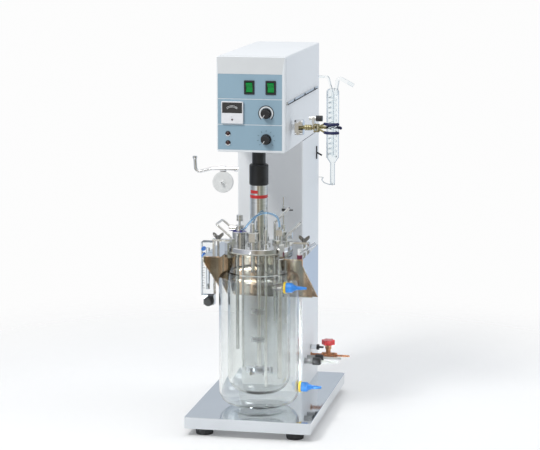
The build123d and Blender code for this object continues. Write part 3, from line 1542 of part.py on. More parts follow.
# Water valve: inlet pipe, hexagonal body, bonnet, stem seat and outlet barb
valve_body_start = head_side + valve_pipe_length
valve_body_end = valve_body_start + valve_body_length
valve_x = valve_body_start + valve_body_length / 2
neck_level = valve_z + valve_neck_height + valve_body_radius * 0.6
bonnet_top = neck_level + bonnet_height
with BuildPart() as water_valve:
    add(make_turned([(valve_pipe_radius + 2.5, 0), (valve_pipe_radius + 2.5, 2), (valve_pipe_radius, 2),
                     (valve_pipe_radius, valve_pipe_length)], (head_side, valve_y, valve_z), (1, 0, 0)))
    with BuildSketch(side_plane(valve_body_start, valve_y, valve_z)):
        RegularPolygon(valve_body_radius, 6)
    extrude(amount=valve_body_length)
    with BuildSketch(Plane(origin=(valve_x, valve_y, valve_z))):
        Circle(valve_neck_radius)
    extrude(amount=neck_level - valve_z)
    with BuildSketch(Plane(origin=(valve_x, valve_y, neck_level))):
        RegularPolygon(bonnet_radius, 6)
    extrude(amount=bonnet_height)
    with BuildSketch(Plane(origin=(valve_x, valve_y, bonnet_top))):
        Circle(stem_radius + running_gap)
    extrude(amount=-bonnet_height, mode=Mode.SUBTRACT)
    with BuildSketch(side_plane(valve_body_end, valve_y, valve_z)):
        RegularPolygon(valve_body_radius * 0.9, 6, rotation=30)
    extrude(amount=outlet_nut_length)
    add(make_barb((valve_body_end + outlet_nut_length, valve_y, valve_z), (1, 0, 0), valve_barb_radius,
                  valve_barb_length, valve_barb_radius / 2))
finish(water_valve, "water_valve")

# Valve handwheel: a lobed wheel on its stem
wheel_foot = bonnet_top + stem_height / 2
with BuildPart() as valve_handwheel:
    with BuildSketch(Plane(origin=(valve_x, valve_y, bonnet_top - bonnet_height + free_gap))):
        Circle(stem_radius)
    extrude(amount=bonnet_height + stem_height / 2)
    with BuildSketch(Plane(origin=(valve_x, valve_y, wheel_foot))):
        Circle(wheel_radius)
        with PolarLocations(wheel_radius - 0.6, 6):
            Circle(wheel_lobe_radius)
    extrude(amount=wheel_height)
    chamfer(valve_handwheel.faces().sort_by(Axis.Z)[-1].edges(), 0.8)
finish(valve_handwheel, "valve_handwheel")


# ================================================================ clamp on the head's right side
clamp_y = head_front + clamp_back
clamp_z = head_bottom + clamp_height
boss_start = head_side + clamp_flange_length
boss_end = boss_start + clamp_boss_length
rod_end = head_side + clamp_rod_end
condenser_x = head_side + condenser_out
finger_circle = condenser_radius + finger_radius + finger_gap
boss_front = clamp_y - clamp_boss_depth / 2
boss_screws = (
    (boss_end - boss_screw_inset, boss_screw_spread),
    (boss_end - 2 * boss_screw_inset, -boss_screw_spread),
)
with BuildPart() as clamp_boss:
    with BuildSketch(side_plane(head_side, clamp_y, clamp_z)):
        Circle(clamp_flange_radius)
    extrude(amount=clamp_flange_length)
    with BuildSketch(side_plane(boss_start, clamp_y, clamp_z)):
        RectangleRounded(clamp_boss_depth, clamp_boss_height, clamp_boss_round)
    extrude(amount=clamp_boss_length)
    fillet(clamp_boss.faces().sort_by(Axis.X)[-1].edges(), 1)
    # open slot for the clamp arm's rod
    with BuildSketch(side_plane(boss_end, clamp_y, clamp_z)):
        Circle(clamp_rod_radius)
        with Locations((-clamp_boss_depth / 2, 0)):
            Rectangle(clamp_boss_depth, 2 * clamp_rod_radius)
    extrude(amount=-clamp_boss_length / 2, mode=Mode.SUBTRACT)
    # two clamping screws with socket heads
    for screw_x, screw_rise in boss_screws:
        add(make_turned([(boss_screw_radius + 1.5, -2), (boss_screw_radius + 1.5, boss_screw_length)],
                        (screw_x, boss_front, clamp_z + screw_rise), (0, -1, 0)))
        with BuildSketch(Plane(origin=(screw_x, boss_front - boss_screw_length, clamp_z + screw_rise),
                               z_dir=(0, -1, 0))):
            Circle(boss_socket_radius)
        extrude(amount=-boss_screw_length / 2, mode=Mode.SUBTRACT)
finish(clamp_boss, "clamp_boss")

# Clamp arm: rod with its barrel nut, lug for the jaw screw, yoke with its pin, and the fixed finger
# that reaches round behind the condenser
rod_start = boss_end - clamp_boss_length / 2
hinge_x = rod_end + yoke_length * 0.7
hinge_y = clamp_y - clamp_rod_radius
hub_half = hub_height / 2
yoke_half = hub_half + free_gap + yoke_wall
lug_x = head_side + lug_in
jaw_screw_z = clamp_z + jaw_screw_rise
with BuildPart() as clamp_arm:
    with BuildSketch(side_plane(rod_start, clamp_y, clamp_z)):
        Circle(clamp_rod_radius)
    extrude(amount=rod_end - rod_start)
    with BuildSketch(side_plane(lug_x, clamp_y, clamp_z + lug_rise / 2)):
        RectangleRounded(2 * clamp_rod_radius + 2, lug_rise + 2 * clamp_rod_radius, 3)
    extrude(amount=lug_length)
    add(make_turned(make_ribbed(clamp_rod_radius + barrel_wall, barrel_length, 3),
                    (head_side + barrel_in, clamp_y, clamp_z), (1, 0, 0)))
    with BuildSketch(side_plane(lug_x, clamp_y, jaw_screw_z)):
        Circle(boss_screw_radius + running_gap)
    extrude(amount=lug_length, mode=Mode.SUBTRACT)
    with BuildSketch(side_plane(rod_end - yoke_wall, clamp_y, clamp_z)):
        Rectangle(yoke_width, 2 * yoke_half)
    extrude(amount=yoke_wall)
    for level in (-yoke_half, yoke_half - yoke_wall):
        with BuildSketch(Plane(origin=(0, 0, clamp_z + level))):
            with Locations(((rod_end + hinge_x) / 2, hinge_y)):
                Rectangle(hinge_x - rod_end, 2 * hub_radius)
            with Locations((hinge_x, hinge_y)):
                Circle(hub_radius)
        extrude(amount=yoke_wall)
    with BuildSketch(Plane(origin=(hinge_x, hinge_y, clamp_z - yoke_half))):
        Circle(pin_radius)
    extrude(amount=2 * yoke_half)
    with BuildLine(Plane(origin=(condenser_x, clamp_y, clamp_z))) as rear_route:
        CenterArc((0, 0), finger_circle, 160, -155)
    with BuildSketch(Plane(origin=rear_route.line @ 0, z_dir=rear_route.line % 0)):
        Circle(finger_radius)
    sweep(path=rear_route.line)
    with Locations(rear_route.line @ 1):
        Sphere(finger_radius + finger_gap / 2)
    with BuildSketch(side_plane(rod_end - yoke_wall, clamp_y + finger_circle * 0.34, clamp_z)):
        Circle(finger_radius)
    extrude(amount=condenser_x - rod_end + yoke_wall - finger_circle * 0.9)
finish(clamp_arm, "clamp_arm")

# Clamp jaw: two sleeved fingers on slanting links from a hub that turns on the yoke's pin
with BuildPart() as clamp_jaw:
    with BuildSketch(Plane(origin=(hinge_x, hinge_y, clamp_z - hub_half))):
        Circle(hub_radius)
    extrude(amount=2 * hub_half)
    for side in (-1, 1):
        finger_z = clamp_z + side * finger_pitch / 2
        with BuildLine(Plane(origin=(condenser_x, clamp_y, finger_z))) as finger_route:
            CenterArc((0, 0), finger_circle, 200, 120)
        with BuildSketch(Plane(origin=finger_route.line @ 0, z_dir=finger_route.line % 0)):
            Circle(finger_radius)
        sweep(path=finger_route.line)
        with Locations(finger_route.line @ 0):
            Sphere(finger_radius)
        with Locations(finger_route.line @ 1):
            Sphere(finger_radius + finger_gap / 2)
        link_start = (hinge_x, hinge_y, clamp_z + side * link_root)
        add(make_rod([link_start, tuple(finger_route.line @ 0)], link_radius, 1))
    with BuildSketch(Plane(origin=(hinge_x, hinge_y, clamp_z - hub_half))):
        Circle(pin_radius + running_gap)
    extrude(amount=2 * hub_half, mode=Mode.SUBTRACT)
finish(clamp_jaw, "clamp_jaw")

# Jaw screw: black knob on a bright shank that turns in the arm's lug, with its nut on the other side
with BuildPart() as jaw_screw:
    add(make_turned([(jaw_nut_radius, -free_gap - jaw_nut_length), (jaw_nut_radius, -free_gap),
                     (boss_screw_radius, -free_gap), (boss_screw_radius, lug_length + free_gap),
                     (jaw_screw_radius, lug_length + free_gap),
                     (jaw_screw_radius, lug_length + jaw_screw_length)],
                    (lug_x, clamp_y, jaw_screw_z), (1, 0, 0)))
    with BuildSketch(side_plane(lug_x + lug_length + jaw_screw_length, clamp_y, jaw_screw_z)):
        Circle(jaw_knob_radius)
        with PolarLocations(jaw_knob_radius + 0.4, 12):
            Circle(1, mode=Mode.SUBTRACT)
    extrude(amount=jaw_knob_length)
finish(jaw_screw, "jaw_screw")


# ================================================================ condenser
# Blown as one: a closed body, its coil with a return tube up the middle, two hose arms and a drip stem
corner_run = Vector(capillary_clear - condenser_out, base_rear - clamp_y, 0)
capillary_way = (corner_run * 0.155 - Vector(0, 0, capillary_fall * 0.267)).normalized()
condenser_foot = clamp_z + condenser_low
condenser_head = clamp_z + condenser_high
taper_foot = condenser_foot - condenser_taper
dome = condenser_radius * 0.45
inner = condenser_radius - condenser_wall
coil_foot = condenser_foot + coil_wire_radius
coil_top = condenser_head - dome - 2 * right_arm_radius
coil_height = coil_top - coil_foot
coil_start = (condenser_x + coil_radius, clamp_y, coil_foot)
coil_end = (condenser_x + coil_radius, clamp_y, coil_top)
arm_level = condenser_head + glass_arm_rise
left_tip = (condenser_x - left_arm_reach, clamp_y, arm_level)
right_tip = (condenser_x + right_arm_reach, clamp_y, arm_level - right_arm_fall)
with BuildPart() as condenser:
    with BuildSketch(section_plane(condenser_x, clamp_y)):
        with BuildLine():
            Polyline((0, stem_foot_z), (stem_tube_radius, stem_foot_z), (stem_tube_radius, taper_foot),
                     (condenser_radius * 0.85, condenser_foot - 3), (condenser_radius, condenser_foot),
                     (condenser_radius, condenser_head - dome),
                     (condenser_radius * 0.8, condenser_head - dome * 0.35),
                     (condenser_radius * 0.4, condenser_head), (0, condenser_head), (0, stem_foot_z))
        make_face()
        with BuildLine():
            Polyline((0, stem_foot_z + condenser_wall),
                     (stem_tube_radius - condenser_wall, stem_foot_z + condenser_wall),
                     (stem_tube_radius - condenser_wall, taper_foot), (inner, condenser_foot),
                     (inner, condenser_head - dome),
                     (inner * 0.75, condenser_head - dome * 0.35 - condenser_wall),
                     (0, condenser_head - condenser_wall), (0, stem_foot_z + condenser_wall))
        make_face(mode=Mode.SUBTRACT)
    revolve(axis=upright_axis(condenser_x, clamp_y))
    with BuildLine() as coil_route:
        Helix(pitch=coil_height / coil_turns, height=coil_height, radius=coil_radius,
              center=(condenser_x, clamp_y, coil_foot))
    with BuildSketch(Plane(origin=coil_route.line @ 0, z_dir=coil_route.line % 0)):
        Circle(coil_wire_radius)
    sweep(path=coil_route.line, is_frenet=True)
    add(make_rod([coil_start, (condenser_x, clamp_y, coil_foot), (condenser_x, clamp_y, coil_top),
                  (condenser_x - left_arm_out, clamp_y, arm_level), left_tip], left_arm_radius, return_bend))
    add(make_rod([coil_end, (condenser_x + coil_radius, clamp_y, condenser_head),
                  (condenser_x + right_arm_out, clamp_y, arm_level), right_tip],
                 right_arm_radius, bend_radius))
    with BuildSketch(Plane(origin=left_tip, x_dir=(0, 1, 0), z_dir=(1, 0, 0))):
        Circle(left_arm_radius - condenser_wall)
    extrude(amount=arm_tip_bore, mode=Mode.SUBTRACT)
    with BuildSketch(Plane(origin=right_tip, z_dir=(right_arm_out - right_arm_reach, 0, right_arm_fall))):
        Circle(right_arm_radius - condenser_wall)
    extrude(amount=arm_tip_bore, mode=Mode.SUBTRACT)
    add(make_turned([(capillary_radius + 1, stem_tube_radius - condenser_wall / 2),
                     (capillary_radius + 1, stem_tube_radius + capillary_stub)],
                    (condenser_x, clamp_y, capillary_root), capillary_way))
finish(condenser, "condenser")


# ================================================================ soft lines
def bend_radii(points):
    """Largest even bend at each inner point of a soft line, from the runs on both sides and the turn."""
    radii = []
    for before, corner, after in zip(points, points[1:], points[2:]):
        run_in = Vector(*corner) - Vector(*before)
        run_out = Vector(*after) - Vector(*corner)
        turn = radians(run_in.get_angle(run_out))
        radii.append(0.45 * min(run_in.length, run_out.length) / tan(turn / 2))
    return radii


def make_line(points, radius):
    """Soft line of round section through the points, with an even bend at each of them."""
    radii = bend_radii(points)
    print("bends", [round(value, 1) for value in radii], "for a line of diameter", 2 * radius)
    with BuildPart() as line:
        with BuildLine() as route:
            FilletPolyline(*points, radius=radii)
        with BuildSketch(Plane(origin=route.line @ 0, z_dir=route.line % 0)):
            Circle(radius)
        sweep(path=route.line)
    length = sum(edge.length for edge in route.line.edges())
    share = line.part.volume / (length * pi * radius ** 2)
    print("length", round(length, 1), "volume share", round(share, 4))
    return line.part


# Feed tube: rises from the addition port's front, bows over the plate and drops onto the feed port
addition_centre = Vector(addition_x, axis_y + addition_y, plate_top + side_cap_rise)
feed_root = addition_centre + addition_outlet * (addition_head_radius + feed_stub)
feed_bend = feed_root + addition_outlet * feed_lead
feed_end = Vector(feed_x, axis_y + feed_y, plate_top + feed_head + feed_stub)
feed_crown = feed_end.Z + feed_arch


def over_plate(share, rise_share, bow_share):
    """Point of the feed tube: a share of the way across, up to the crown and out to the front."""
    across = feed_bend + (feed_end - feed_bend) * share
    return across.X, across.Y - feed_bow * bow_share, feed_root.Z + (feed_crown - feed_root.Z) * rise_share


feed_points = [
    tuple(feed_root),
    tuple(feed_bend),
    over_plate(0.16, 0.4, 0.63),
    over_plate(0.35, 0.78, 0.97),
    over_plate(0.58, 1.0, 1.0),
    over_plate(0.825, 0.935, 0.58),
    tuple(feed_end + Vector(0, 0, feed_arch * 0.555)),
    tuple(feed_end),
]
with BuildPart() as feed_tube:
    add(make_line(feed_points, tube_radius))
finish(feed_tube, "feed_tube")

# Capillary line from the condenser's foot, past the column's right side and round to its rear cover
line_root = Vector(condenser_x, clamp_y, capillary_root)
line_start = line_root + capillary_way * (stem_tube_radius + capillary_stub)
line_end_x = head_side - capillary_inset


def beside_column(across, along, down):
    """Point of the line: shares of the way to the rear corner, sideways, backwards and down."""
    return (line_root.X + corner_run.X * across, line_root.Y + corner_run.Y * along,
            capillary_root - capillary_fall * down)


capillary_points = [
    tuple(line_start),
    tuple(line_start + capillary_way * capillary_lead),
    beside_column(0.33, 0.317, 0.444),
    beside_column(0.486, 0.466, 0.6),
    beside_column(0.655, 0.615, 0.756),
    beside_column(0.79, 0.75, 0.844),
    beside_column(0.92, 0.888, 0.956),
    beside_column(1, 0.99, 1),
    (head_side + capillary_clear, base_rear + capillary_loop, capillary_level),
    (line_end_x, base_rear + capillary_loop, capillary_level),
    (line_end_x, base_rear + capillary_barb, capillary_level),
]
with BuildPart() as condenser_line:
    add(make_line(capillary_points, capillary_radius))
finish(condenser_line, "condenser_line")

# Sampling spout on the shelf's right fork: a seal, a collar and a clear angled tube
spout_y = bracket_front + spout_back
with BuildPart() as sample_spout:
    add(make_turned([(spout_band_radius, 0), (spout_band_radius, spout_band_height),
                     (spout_collar_radius, spout_band_height),
                     (spout_collar_radius, spout_band_height + spout_collar_height)],
                    (spout_x, spout_y, shelf_top), (0, 0, 1)))
    spout_tip = (spout_x + spout_reach, spout_y, shelf_top + spout_band_height + spout_rise)
    add(make_rod([(spout_x, spout_y, shelf_top + spout_band_height + spout_tube_radius), spout_tip],
                 spout_tube_radius, bend_radius))
    with BuildSketch(Plane(origin=spout_tip, z_dir=(-spout_reach, 0, spout_tube_radius - spout_rise))):
        Circle(spout_tube_radius * 0.7)
    extrude(amount=spout_reach * 0.6, mode=Mode.SUBTRACT)
finish(sample_spout, "sample_spout")
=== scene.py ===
import math

import bmesh
import bpy
from mathutils import Matrix, Vector


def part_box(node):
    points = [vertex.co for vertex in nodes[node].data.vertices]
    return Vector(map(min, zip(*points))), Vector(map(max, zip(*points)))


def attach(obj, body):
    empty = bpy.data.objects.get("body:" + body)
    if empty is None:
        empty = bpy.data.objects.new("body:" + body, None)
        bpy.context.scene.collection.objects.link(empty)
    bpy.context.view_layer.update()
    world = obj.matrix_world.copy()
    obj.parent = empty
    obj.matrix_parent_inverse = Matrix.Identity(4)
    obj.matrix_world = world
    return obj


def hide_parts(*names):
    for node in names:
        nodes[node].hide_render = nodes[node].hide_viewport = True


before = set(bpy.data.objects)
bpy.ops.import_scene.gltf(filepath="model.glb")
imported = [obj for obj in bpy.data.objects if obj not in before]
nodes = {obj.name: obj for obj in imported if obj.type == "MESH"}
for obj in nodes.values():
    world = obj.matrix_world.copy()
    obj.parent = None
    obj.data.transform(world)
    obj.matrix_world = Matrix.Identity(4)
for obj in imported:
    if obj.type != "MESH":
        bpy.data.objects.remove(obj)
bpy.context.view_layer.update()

# ---------------------------------------- places, in metres, read from the parts in model.glb
head_low, head_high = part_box("head_shell")
bezel_low, bezel_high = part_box("front_bezel")
plate_low, plate_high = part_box("head_plate")
head_front = bezel_low.y                     # front faces of the bezel and the control panel
panel_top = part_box("control_panel")[1].z
axis_y = (plate_low.y + plate_high.y) / 2    # common axis of the vessel and the drive, at x = 0
cover_sheet = 0.0015
cover_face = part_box("rear_cover")[0].y + cover_sheet


# ======================================== materials
class Shading:
    """Short ways to build up the node tree of a material or of the world."""

    def __init__(self, tree):
        self.tree = tree

    def add(self, kind, **settings):
        node = self.tree.nodes.new(kind)
        for key, value in settings.items():
            setattr(node, key, value)
        return node

    def link(self, source, target):
        self.tree.links.new(source, target)

    def feed(self, source, target):
        """Links a socket to the target, or gives the target a plain value."""
        if isinstance(source, bpy.types.NodeSocket):
            self.link(source, target)
        else:
            target.default_value = source

    def ramp(self, fac, stops):
        """Colour picked by a value from (position, colour) stops."""
        ramp = self.add("ShaderNodeValToRGB")
        elements = ramp.color_ramp.elements
        elements[0].position, elements[0].color = stops[0][0], (*stops[0][1], 1)
        elements[1].position, elements[1].color = stops[-1][0], (*stops[-1][1], 1)
        for position, colour in stops[1:-1]:
            elements.new(position).color = (*colour, 1)
        self.link(fac, ramp.inputs["Fac"])
        return ramp.outputs["Color"]

    def span(self, value, low, high, to_low=0.0, to_high=1.0, smooth=False):
        """A value's range mapped onto another range."""
        span = self.add("ShaderNodeMapRange")
        span.interpolation_type = "SMOOTHSTEP" if smooth else "LINEAR"
        span.inputs["From Min"].default_value = low
        span.inputs["From Max"].default_value = high
        span.inputs["To Min"].default_value = to_low
        span.inputs["To Max"].default_value = to_high
        self.link(value, span.inputs["Value"])
        return span.outputs["Result"]

    def mix(self, factor, a, b, blend="MIX"):
        """Two colours mixed; the factor and the colours are sockets or plain values."""
        mix = self.add("ShaderNodeMix", data_type="RGBA", blend_type=blend)
        self.feed(factor, mix.inputs["Factor"])
        self.feed(a, mix.inputs["A"])
        self.feed(b, mix.inputs["B"])
        return mix.outputs["Result"]

    def calculate(self, operation, a, b):
        """Result of an operation on two values, each a socket or a plain value."""
        node = self.add("ShaderNodeMath", operation=operation)
        self.feed(a, node.inputs[0])
        self.feed(b, node.inputs[1])
        return node.outputs["Value"]


class Look(Shading):
    """One procedural material, built node by node on a Principled shader."""

    noise_low, noise_high = 0.3, 0.7         # nearly all values of a noise lie between these
    edge_low, edge_high = 0.52, 0.6          # pointiness where an edge's other colour begins and is full

    def __init__(self, name, colour, rough, metal=0.0):
        self.material = bpy.data.materials.new(name)
        self.material.use_nodes = True
        super().__init__(self.material.node_tree)
        self.shader = self.tree.nodes["Principled BSDF"]
        self.shader.inputs["Base Color"].default_value = (*colour, 1)
        self.shader.inputs["Roughness"].default_value = rough
        self.shader.inputs["Metallic"].default_value = metal
        self.colour = colour
        self.rough = rough
        self.place = self.add("ShaderNodeTexCoord").outputs["Object"]
        self.painted = None

    def set(self, **sockets):
        """Plain values of the shader's sockets, with _ for the blanks in their names."""
        for key, value in sockets.items():
            self.shader.inputs[key.replace("_", " ")].default_value = value
        return self

    def noise(self, scale, stretch=(1, 1, 1), detail=3.0):
        mapping = self.add("ShaderNodeMapping")
        mapping.inputs["Scale"].default_value = stretch
        self.link(self.place, mapping.inputs["Vector"])
        noise = self.add("ShaderNodeTexNoise")
        noise.inputs["Scale"].default_value = scale
        noise.inputs["Detail"].default_value = detail
        self.link(mapping.outputs["Vector"], noise.inputs["Vector"])
        return noise.outputs["Fac"]

    def paint(self, colour):
        """A colour socket as the base colour."""
        self.painted = colour
        self.link(colour, self.shader.inputs["Base Color"])
        return self

    def tint(self, amount, scale, stretch=(1, 1, 1)):
        """Uneven colour round the base colour."""
        dark = tuple(max(0.0, c * (1 - amount)) for c in self.colour)
        light = tuple(min(1.0, c * (1 + amount)) for c in self.colour)
        noise = self.noise(scale, stretch)
        return self.paint(self.ramp(noise, [(self.noise_low, dark), (self.noise_high, light)]))

    def sheen_spread(self, amount, scale, stretch=(1, 1, 1)):
        """Uneven gloss round the base roughness."""
        smoothest = max(0.0, self.rough - amount)
        noise = self.noise(scale, stretch)
        rough = self.span(noise, self.noise_low, self.noise_high, smoothest, self.rough + amount)
        self.link(rough, self.shader.inputs["Roughness"])
        return self

    def grain(self, strength, scale, stretch=(1, 1, 1), depth=0.0002):
        """Fine unevenness of the surface."""
        bump = self.add("ShaderNodeBump")
        bump.inputs["Strength"].default_value = strength
        bump.inputs["Distance"].default_value = depth
        self.link(self.noise(scale, stretch, 2.0), bump.inputs["Height"])
        self.link(bump.outputs["Normal"], self.shader.inputs["Normal"])
        return self

    def edge_wear_and_highlight(self, colour):
        """Another colour along sharp edges: lighter rubbed metal on the bronzes, and a painted highlight on
        the white paint.
        """
        pointiness = self.add("ShaderNodeNewGeometry").outputs["Pointiness"]
        edge = self.span(pointiness, self.edge_low, self.edge_high)
        return self.paint(self.mix(edge, self.painted or (*self.colour, 1), (*colour, 1)))

    def soak(self, colour, density):
        """Light is taken up inside the body, so that thick glass looks tinted."""
        volume = self.add("ShaderNodeVolumeAbsorption")
        volume.inputs["Color"].default_value = (*colour, 1)
        volume.inputs["Density"].default_value = density
        self.link(volume.outputs["Volume"], self.tree.nodes["Material Output"].inputs["Volume"])
        return self


def plastic(name, colour, rough, coat=0.0):
    look = Look(name, colour, rough).set(IOR=1.5, Coat_Weight=coat, Coat_Roughness=0.15)
    return look.tint(0.05, 45).sheen_spread(0.07, 90).grain(0.12, 900)


def steel(name, colour, rough, stretch=(1, 1, 1), bump=0.03):
    look = Look(name, colour, rough, 1.0).tint(0.07, 35, stretch)
    return look.sheen_spread(0.07, 120, stretch).grain(bump, 700, stretch)


def clear(name, colour, rough, ior, spread, bump, scale, stretch=(1, 1, 1)):
    """Glass, clear plastic or silicone."""
    look = Look(name, colour, rough).set(IOR=ior, Transmission_Weight=1.0)
    return look.sheen_spread(spread, 30).tint(0.012, 12).grain(bump, scale, stretch, 0.0004)


# Painted sheet and the moulded front
white_paint = Look("white_paint", (0.76, 0.80, 0.83), 0.46)
white_paint.set(IOR=1.5, Coat_Weight=0.12, Coat_Roughness=0.3)
# The lighter sharp edges of the white paint are a painted highlight
white_paint.tint(0.010, 9).sheen_spread(0.03, 12).grain(0.01, 420).edge_wear_and_highlight((0.86, 0.88, 0.90))
bezel_grey = Look("bezel_grey", (0.68, 0.70, 0.71), 0.42).set(IOR=1.5)
bezel_grey.tint(0.02, 20).sheen_spread(0.05, 60).grain(0.15, 1100)
panel_blue = Look("panel_blue", (0.285, 0.42, 0.515), 0.4).set(IOR=1.5)
panel_blue.tint(0.025, 14).sheen_spread(0.06, 40).grain(0.08, 1300)

# Polished sheet steel; on the bracket's second look, reflections of the room in front of it are painted into
# the colour as warm upright streaks
mirror_steel = Look("mirror_steel", (0.66, 0.69, 0.72), 0.07, 1.0)
mirror_steel.tint(0.03, 7).sheen_spread(0.035, 30, (1, 6, 1)).grain(0.012, 90, (1, 3, 1))
bracket_steel = Look("bracket_steel", (0.72, 0.73, 0.74), 0.05, 1.0)
bracket_steel.tint(0.03, 9).sheen_spread(0.03, 40).grain(0.015, 60)
bracket_painted_reflection = Look("bracket_painted_reflection", (0.70, 0.56, 0.42), 0.12, 1.0).sheen_spread(0.04, 40).grain(0.015, 60)
# Painted reflection: warm upright streaks that stand for the room in front, mirrored in the steel
painted_reflection_streaks = bracket_painted_reflection.noise(21, (1, 1, 0.02), 1.0)
bracket_painted_reflection.paint(bracket_painted_reflection.ramp(painted_reflection_streaks, [
    (0.34, (0.34, 0.27, 0.22)), (0.42, (0.86, 0.62, 0.44)), (0.48, (0.42, 0.41, 0.36)),
    (0.53, (0.78, 0.74, 0.66)), (0.58, (0.50, 0.44, 0.36)), (0.66, (0.90, 0.64, 0.44))]))

# Turned and plated metals
chrome = steel("chrome", (0.74, 0.75, 0.76), 0.06, (1, 1, 1), 0.01)
bright_steel = steel("bright_steel", (0.66, 0.66, 0.64), 0.13)
turned_steel = steel("turned_steel", (0.68, 0.69, 0.68), 0.09, (1, 1, 8), 0.03)
nut_steel = steel("nut_steel", (0.25, 0.25, 0.25), 0.14)
stirrer_steel = steel("stirrer_steel", (0.50, 0.52, 0.55), 0.12, (1, 1, 4), 0.04)
plate_steel = steel("plate_steel", (0.72, 0.73, 0.75), 0.14)
rail_steel = steel("rail_steel", (0.66, 0.68, 0.69), 0.22, (1, 0.1, 1), 0.06)
pale_nickel = steel("pale_nickel", (0.78, 0.80, 0.80), 0.32)
anodised_black = Look("anodised_black", (0.022, 0.024, 0.026), 0.38, 0.3)
anodised_black.tint(0.15, 60).sheen_spread(0.08, 150, (1, 1, 8)).grain(0.08, 800, (1, 1, 6))
barrel_bronze = Look("barrel_bronze", (0.36, 0.32, 0.17), 0.2, 1.0)
barrel_bronze.tint(0.15, 70).sheen_spread(0.08, 150).grain(0.1, 500).edge_wear_and_highlight((0.62, 0.58, 0.42))
bronze = Look("bronze", (0.40, 0.17, 0.085), 0.3, 0.85)
bronze.tint(0.18, 70).sheen_spread(0.1, 150).grain(0.25, 500).edge_wear_and_highlight((0.62, 0.36, 0.2))

# Plastics, rubber and printed marks
black_plastic = plastic("black_plastic", (0.018, 0.019, 0.021), 0.36)
black_rubber = plastic("black_rubber", (0.014, 0.014, 0.015), 0.7)
rocker_green = Look("rocker_green", (0.0, 0.27, 0.045), 0.34).set(IOR=1.4)
rocker_green.tint(0.12, 60).sheen_spread(0.06, 120)
white_line = plastic("white_line", (0.82, 0.84, 0.85), 0.45)
meter_white = plastic("meter_white", (0.80, 0.81, 0.84), 0.35, 0.3)
meter_black = plastic("meter_black", (0.022, 0.024, 0.026), 0.12, 0.6)
motor_grey = plastic("motor_grey", (0.10, 0.105, 0.11), 0.45)
ptfe_white = plastic("ptfe_white", (0.74, 0.74, 0.72), 0.5)
gasket_pale = plastic("gasket_pale", (0.50, 0.50, 0.46), 0.45)
cap_blue = plastic("cap_blue", (0.02, 0.235, 0.72), 0.3, 0.3)
cap_yellow = plastic("cap_yellow", (0.78, 0.55, 0.02), 0.35, 0.2)
fitting_blue = plastic("fitting_blue", (0.015, 0.17, 0.60), 0.28, 0.4)
filter_white = plastic("filter_white", (0.80, 0.81, 0.80), 0.4, 0.2)
socket_grey = plastic("socket_grey", (0.36, 0.37, 0.37), 0.45)
barb_white = plastic("barb_white", (0.66, 0.66, 0.64), 0.38)
wheel_red = plastic("wheel_red", (0.62, 0.012, 0.018), 0.25, 0.5)
sleeve_blue = plastic("sleeve_blue", (0.006, 0.011, 0.075), 0.5)
ring_violet = plastic("ring_violet", (0.10, 0.09, 0.34), 0.4)
label_red = plastic("label_red", (0.50, 0.022, 0.022), 0.38, 0.2)
band_maroon = plastic("band_maroon", (0.16, 0.02, 0.05), 0.4)
lamp_dark = plastic("lamp_dark", (0.05, 0.015, 0.015), 0.15, 0.6)

# Glass, clear plastics and silicone
glass = clear("glass", (0.975, 0.985, 0.985), 0.0, 1.47, 0.008, 0.03, 30.0, (1, 1, 0.25))
glass.soak((0.50, 0.56, 0.40), 9.0)
thin_glass = clear("thin_glass", (0.93, 0.955, 0.965), 0.0, 1.16, 0.008, 0.03, 120.0)
acrylic = clear("acrylic", (0.90, 0.93, 0.95), 0.03, 1.49, 0.02, 0.03, 60.0)
spout_clear = clear("spout_clear", (0.88, 0.90, 0.92), 0.08, 1.42, 0.04, 0.05, 200.0)
elbow_clear = clear("elbow_clear", (0.80, 0.83, 0.85), 0.12, 1.42, 0.05, 0.05, 200.0)
silicone_blue = clear("silicone_blue", (0.42, 0.66, 0.92), 0.18, 1.41, 0.06, 0.08, 300.0)
silicone_clear = clear("silicone_clear", (0.72, 0.76, 0.76), 0.2, 1.41, 0.06, 0.08, 300.0)


# ======================================== looks of the CAD nodes
def dress(name, base, *others):
    """Looks of a node: base on every face, then each (test, look) where test(centre, normal) holds."""
    mesh = nodes[name].data
    mesh.materials.clear()
    mesh.materials.append(base.material)
    for polygon in mesh.polygons:
        polygon.material_index = 0
    for index, (test, look) in enumerate(others, 1):
        mesh.materials.append(look.material)
        for polygon in mesh.polygons:
            if test(polygon.center, polygon.normal):
                polygon.material_index = index


plain_looks = {
    "base_pan": mirror_steel, "rubber_feet": black_rubber, "head_shell": white_paint,
    "switch_bodies": black_plastic, "power_rocker": rocker_green, "stirrer_rocker": rocker_green,
    "panel_meter": meter_white, "speed_knob": black_plastic, "temperature_knob": black_plastic,
    "indicator_lamps": lamp_dark, "drive_shaft": bright_steel, "magnet_cup": anodised_black,
    "drive_housing": turned_steel, "shaft_bushes": ptfe_white, "inner_rotor": bright_steel,
    "agitator_shaft": turned_steel, "turbines": stirrer_steel, "inner_vessel": glass, "water_jacket": glass,
    "head_plate": plate_steel, "plate_gasket": gasket_pale, "rim_clamps": bright_steel,
    "hold_down_dogs": bright_steel, "left_wing_nut": nut_steel, "right_wing_nut": nut_steel,
    "lid_handle": bright_steel, "addition_knob": turned_steel, "dip_probes": turned_steel,
    "sensor_gland": bright_steel, "lid_pipes": turned_steel, "feed_port": bright_steel,
    "sampler": turned_steel, "sampler_lever": black_plastic, "rotameter_body": acrylic,
    "rotameter_float": turned_steel, "rotameter_knob": black_rubber, "filter_arm": chrome,
    "air_filter": filter_white, "water_valve": bronze, "clamp_boss": chrome, "condenser": thin_glass,
}
for node_name, plain_look in plain_looks.items():
    dress(node_name, plain_look)
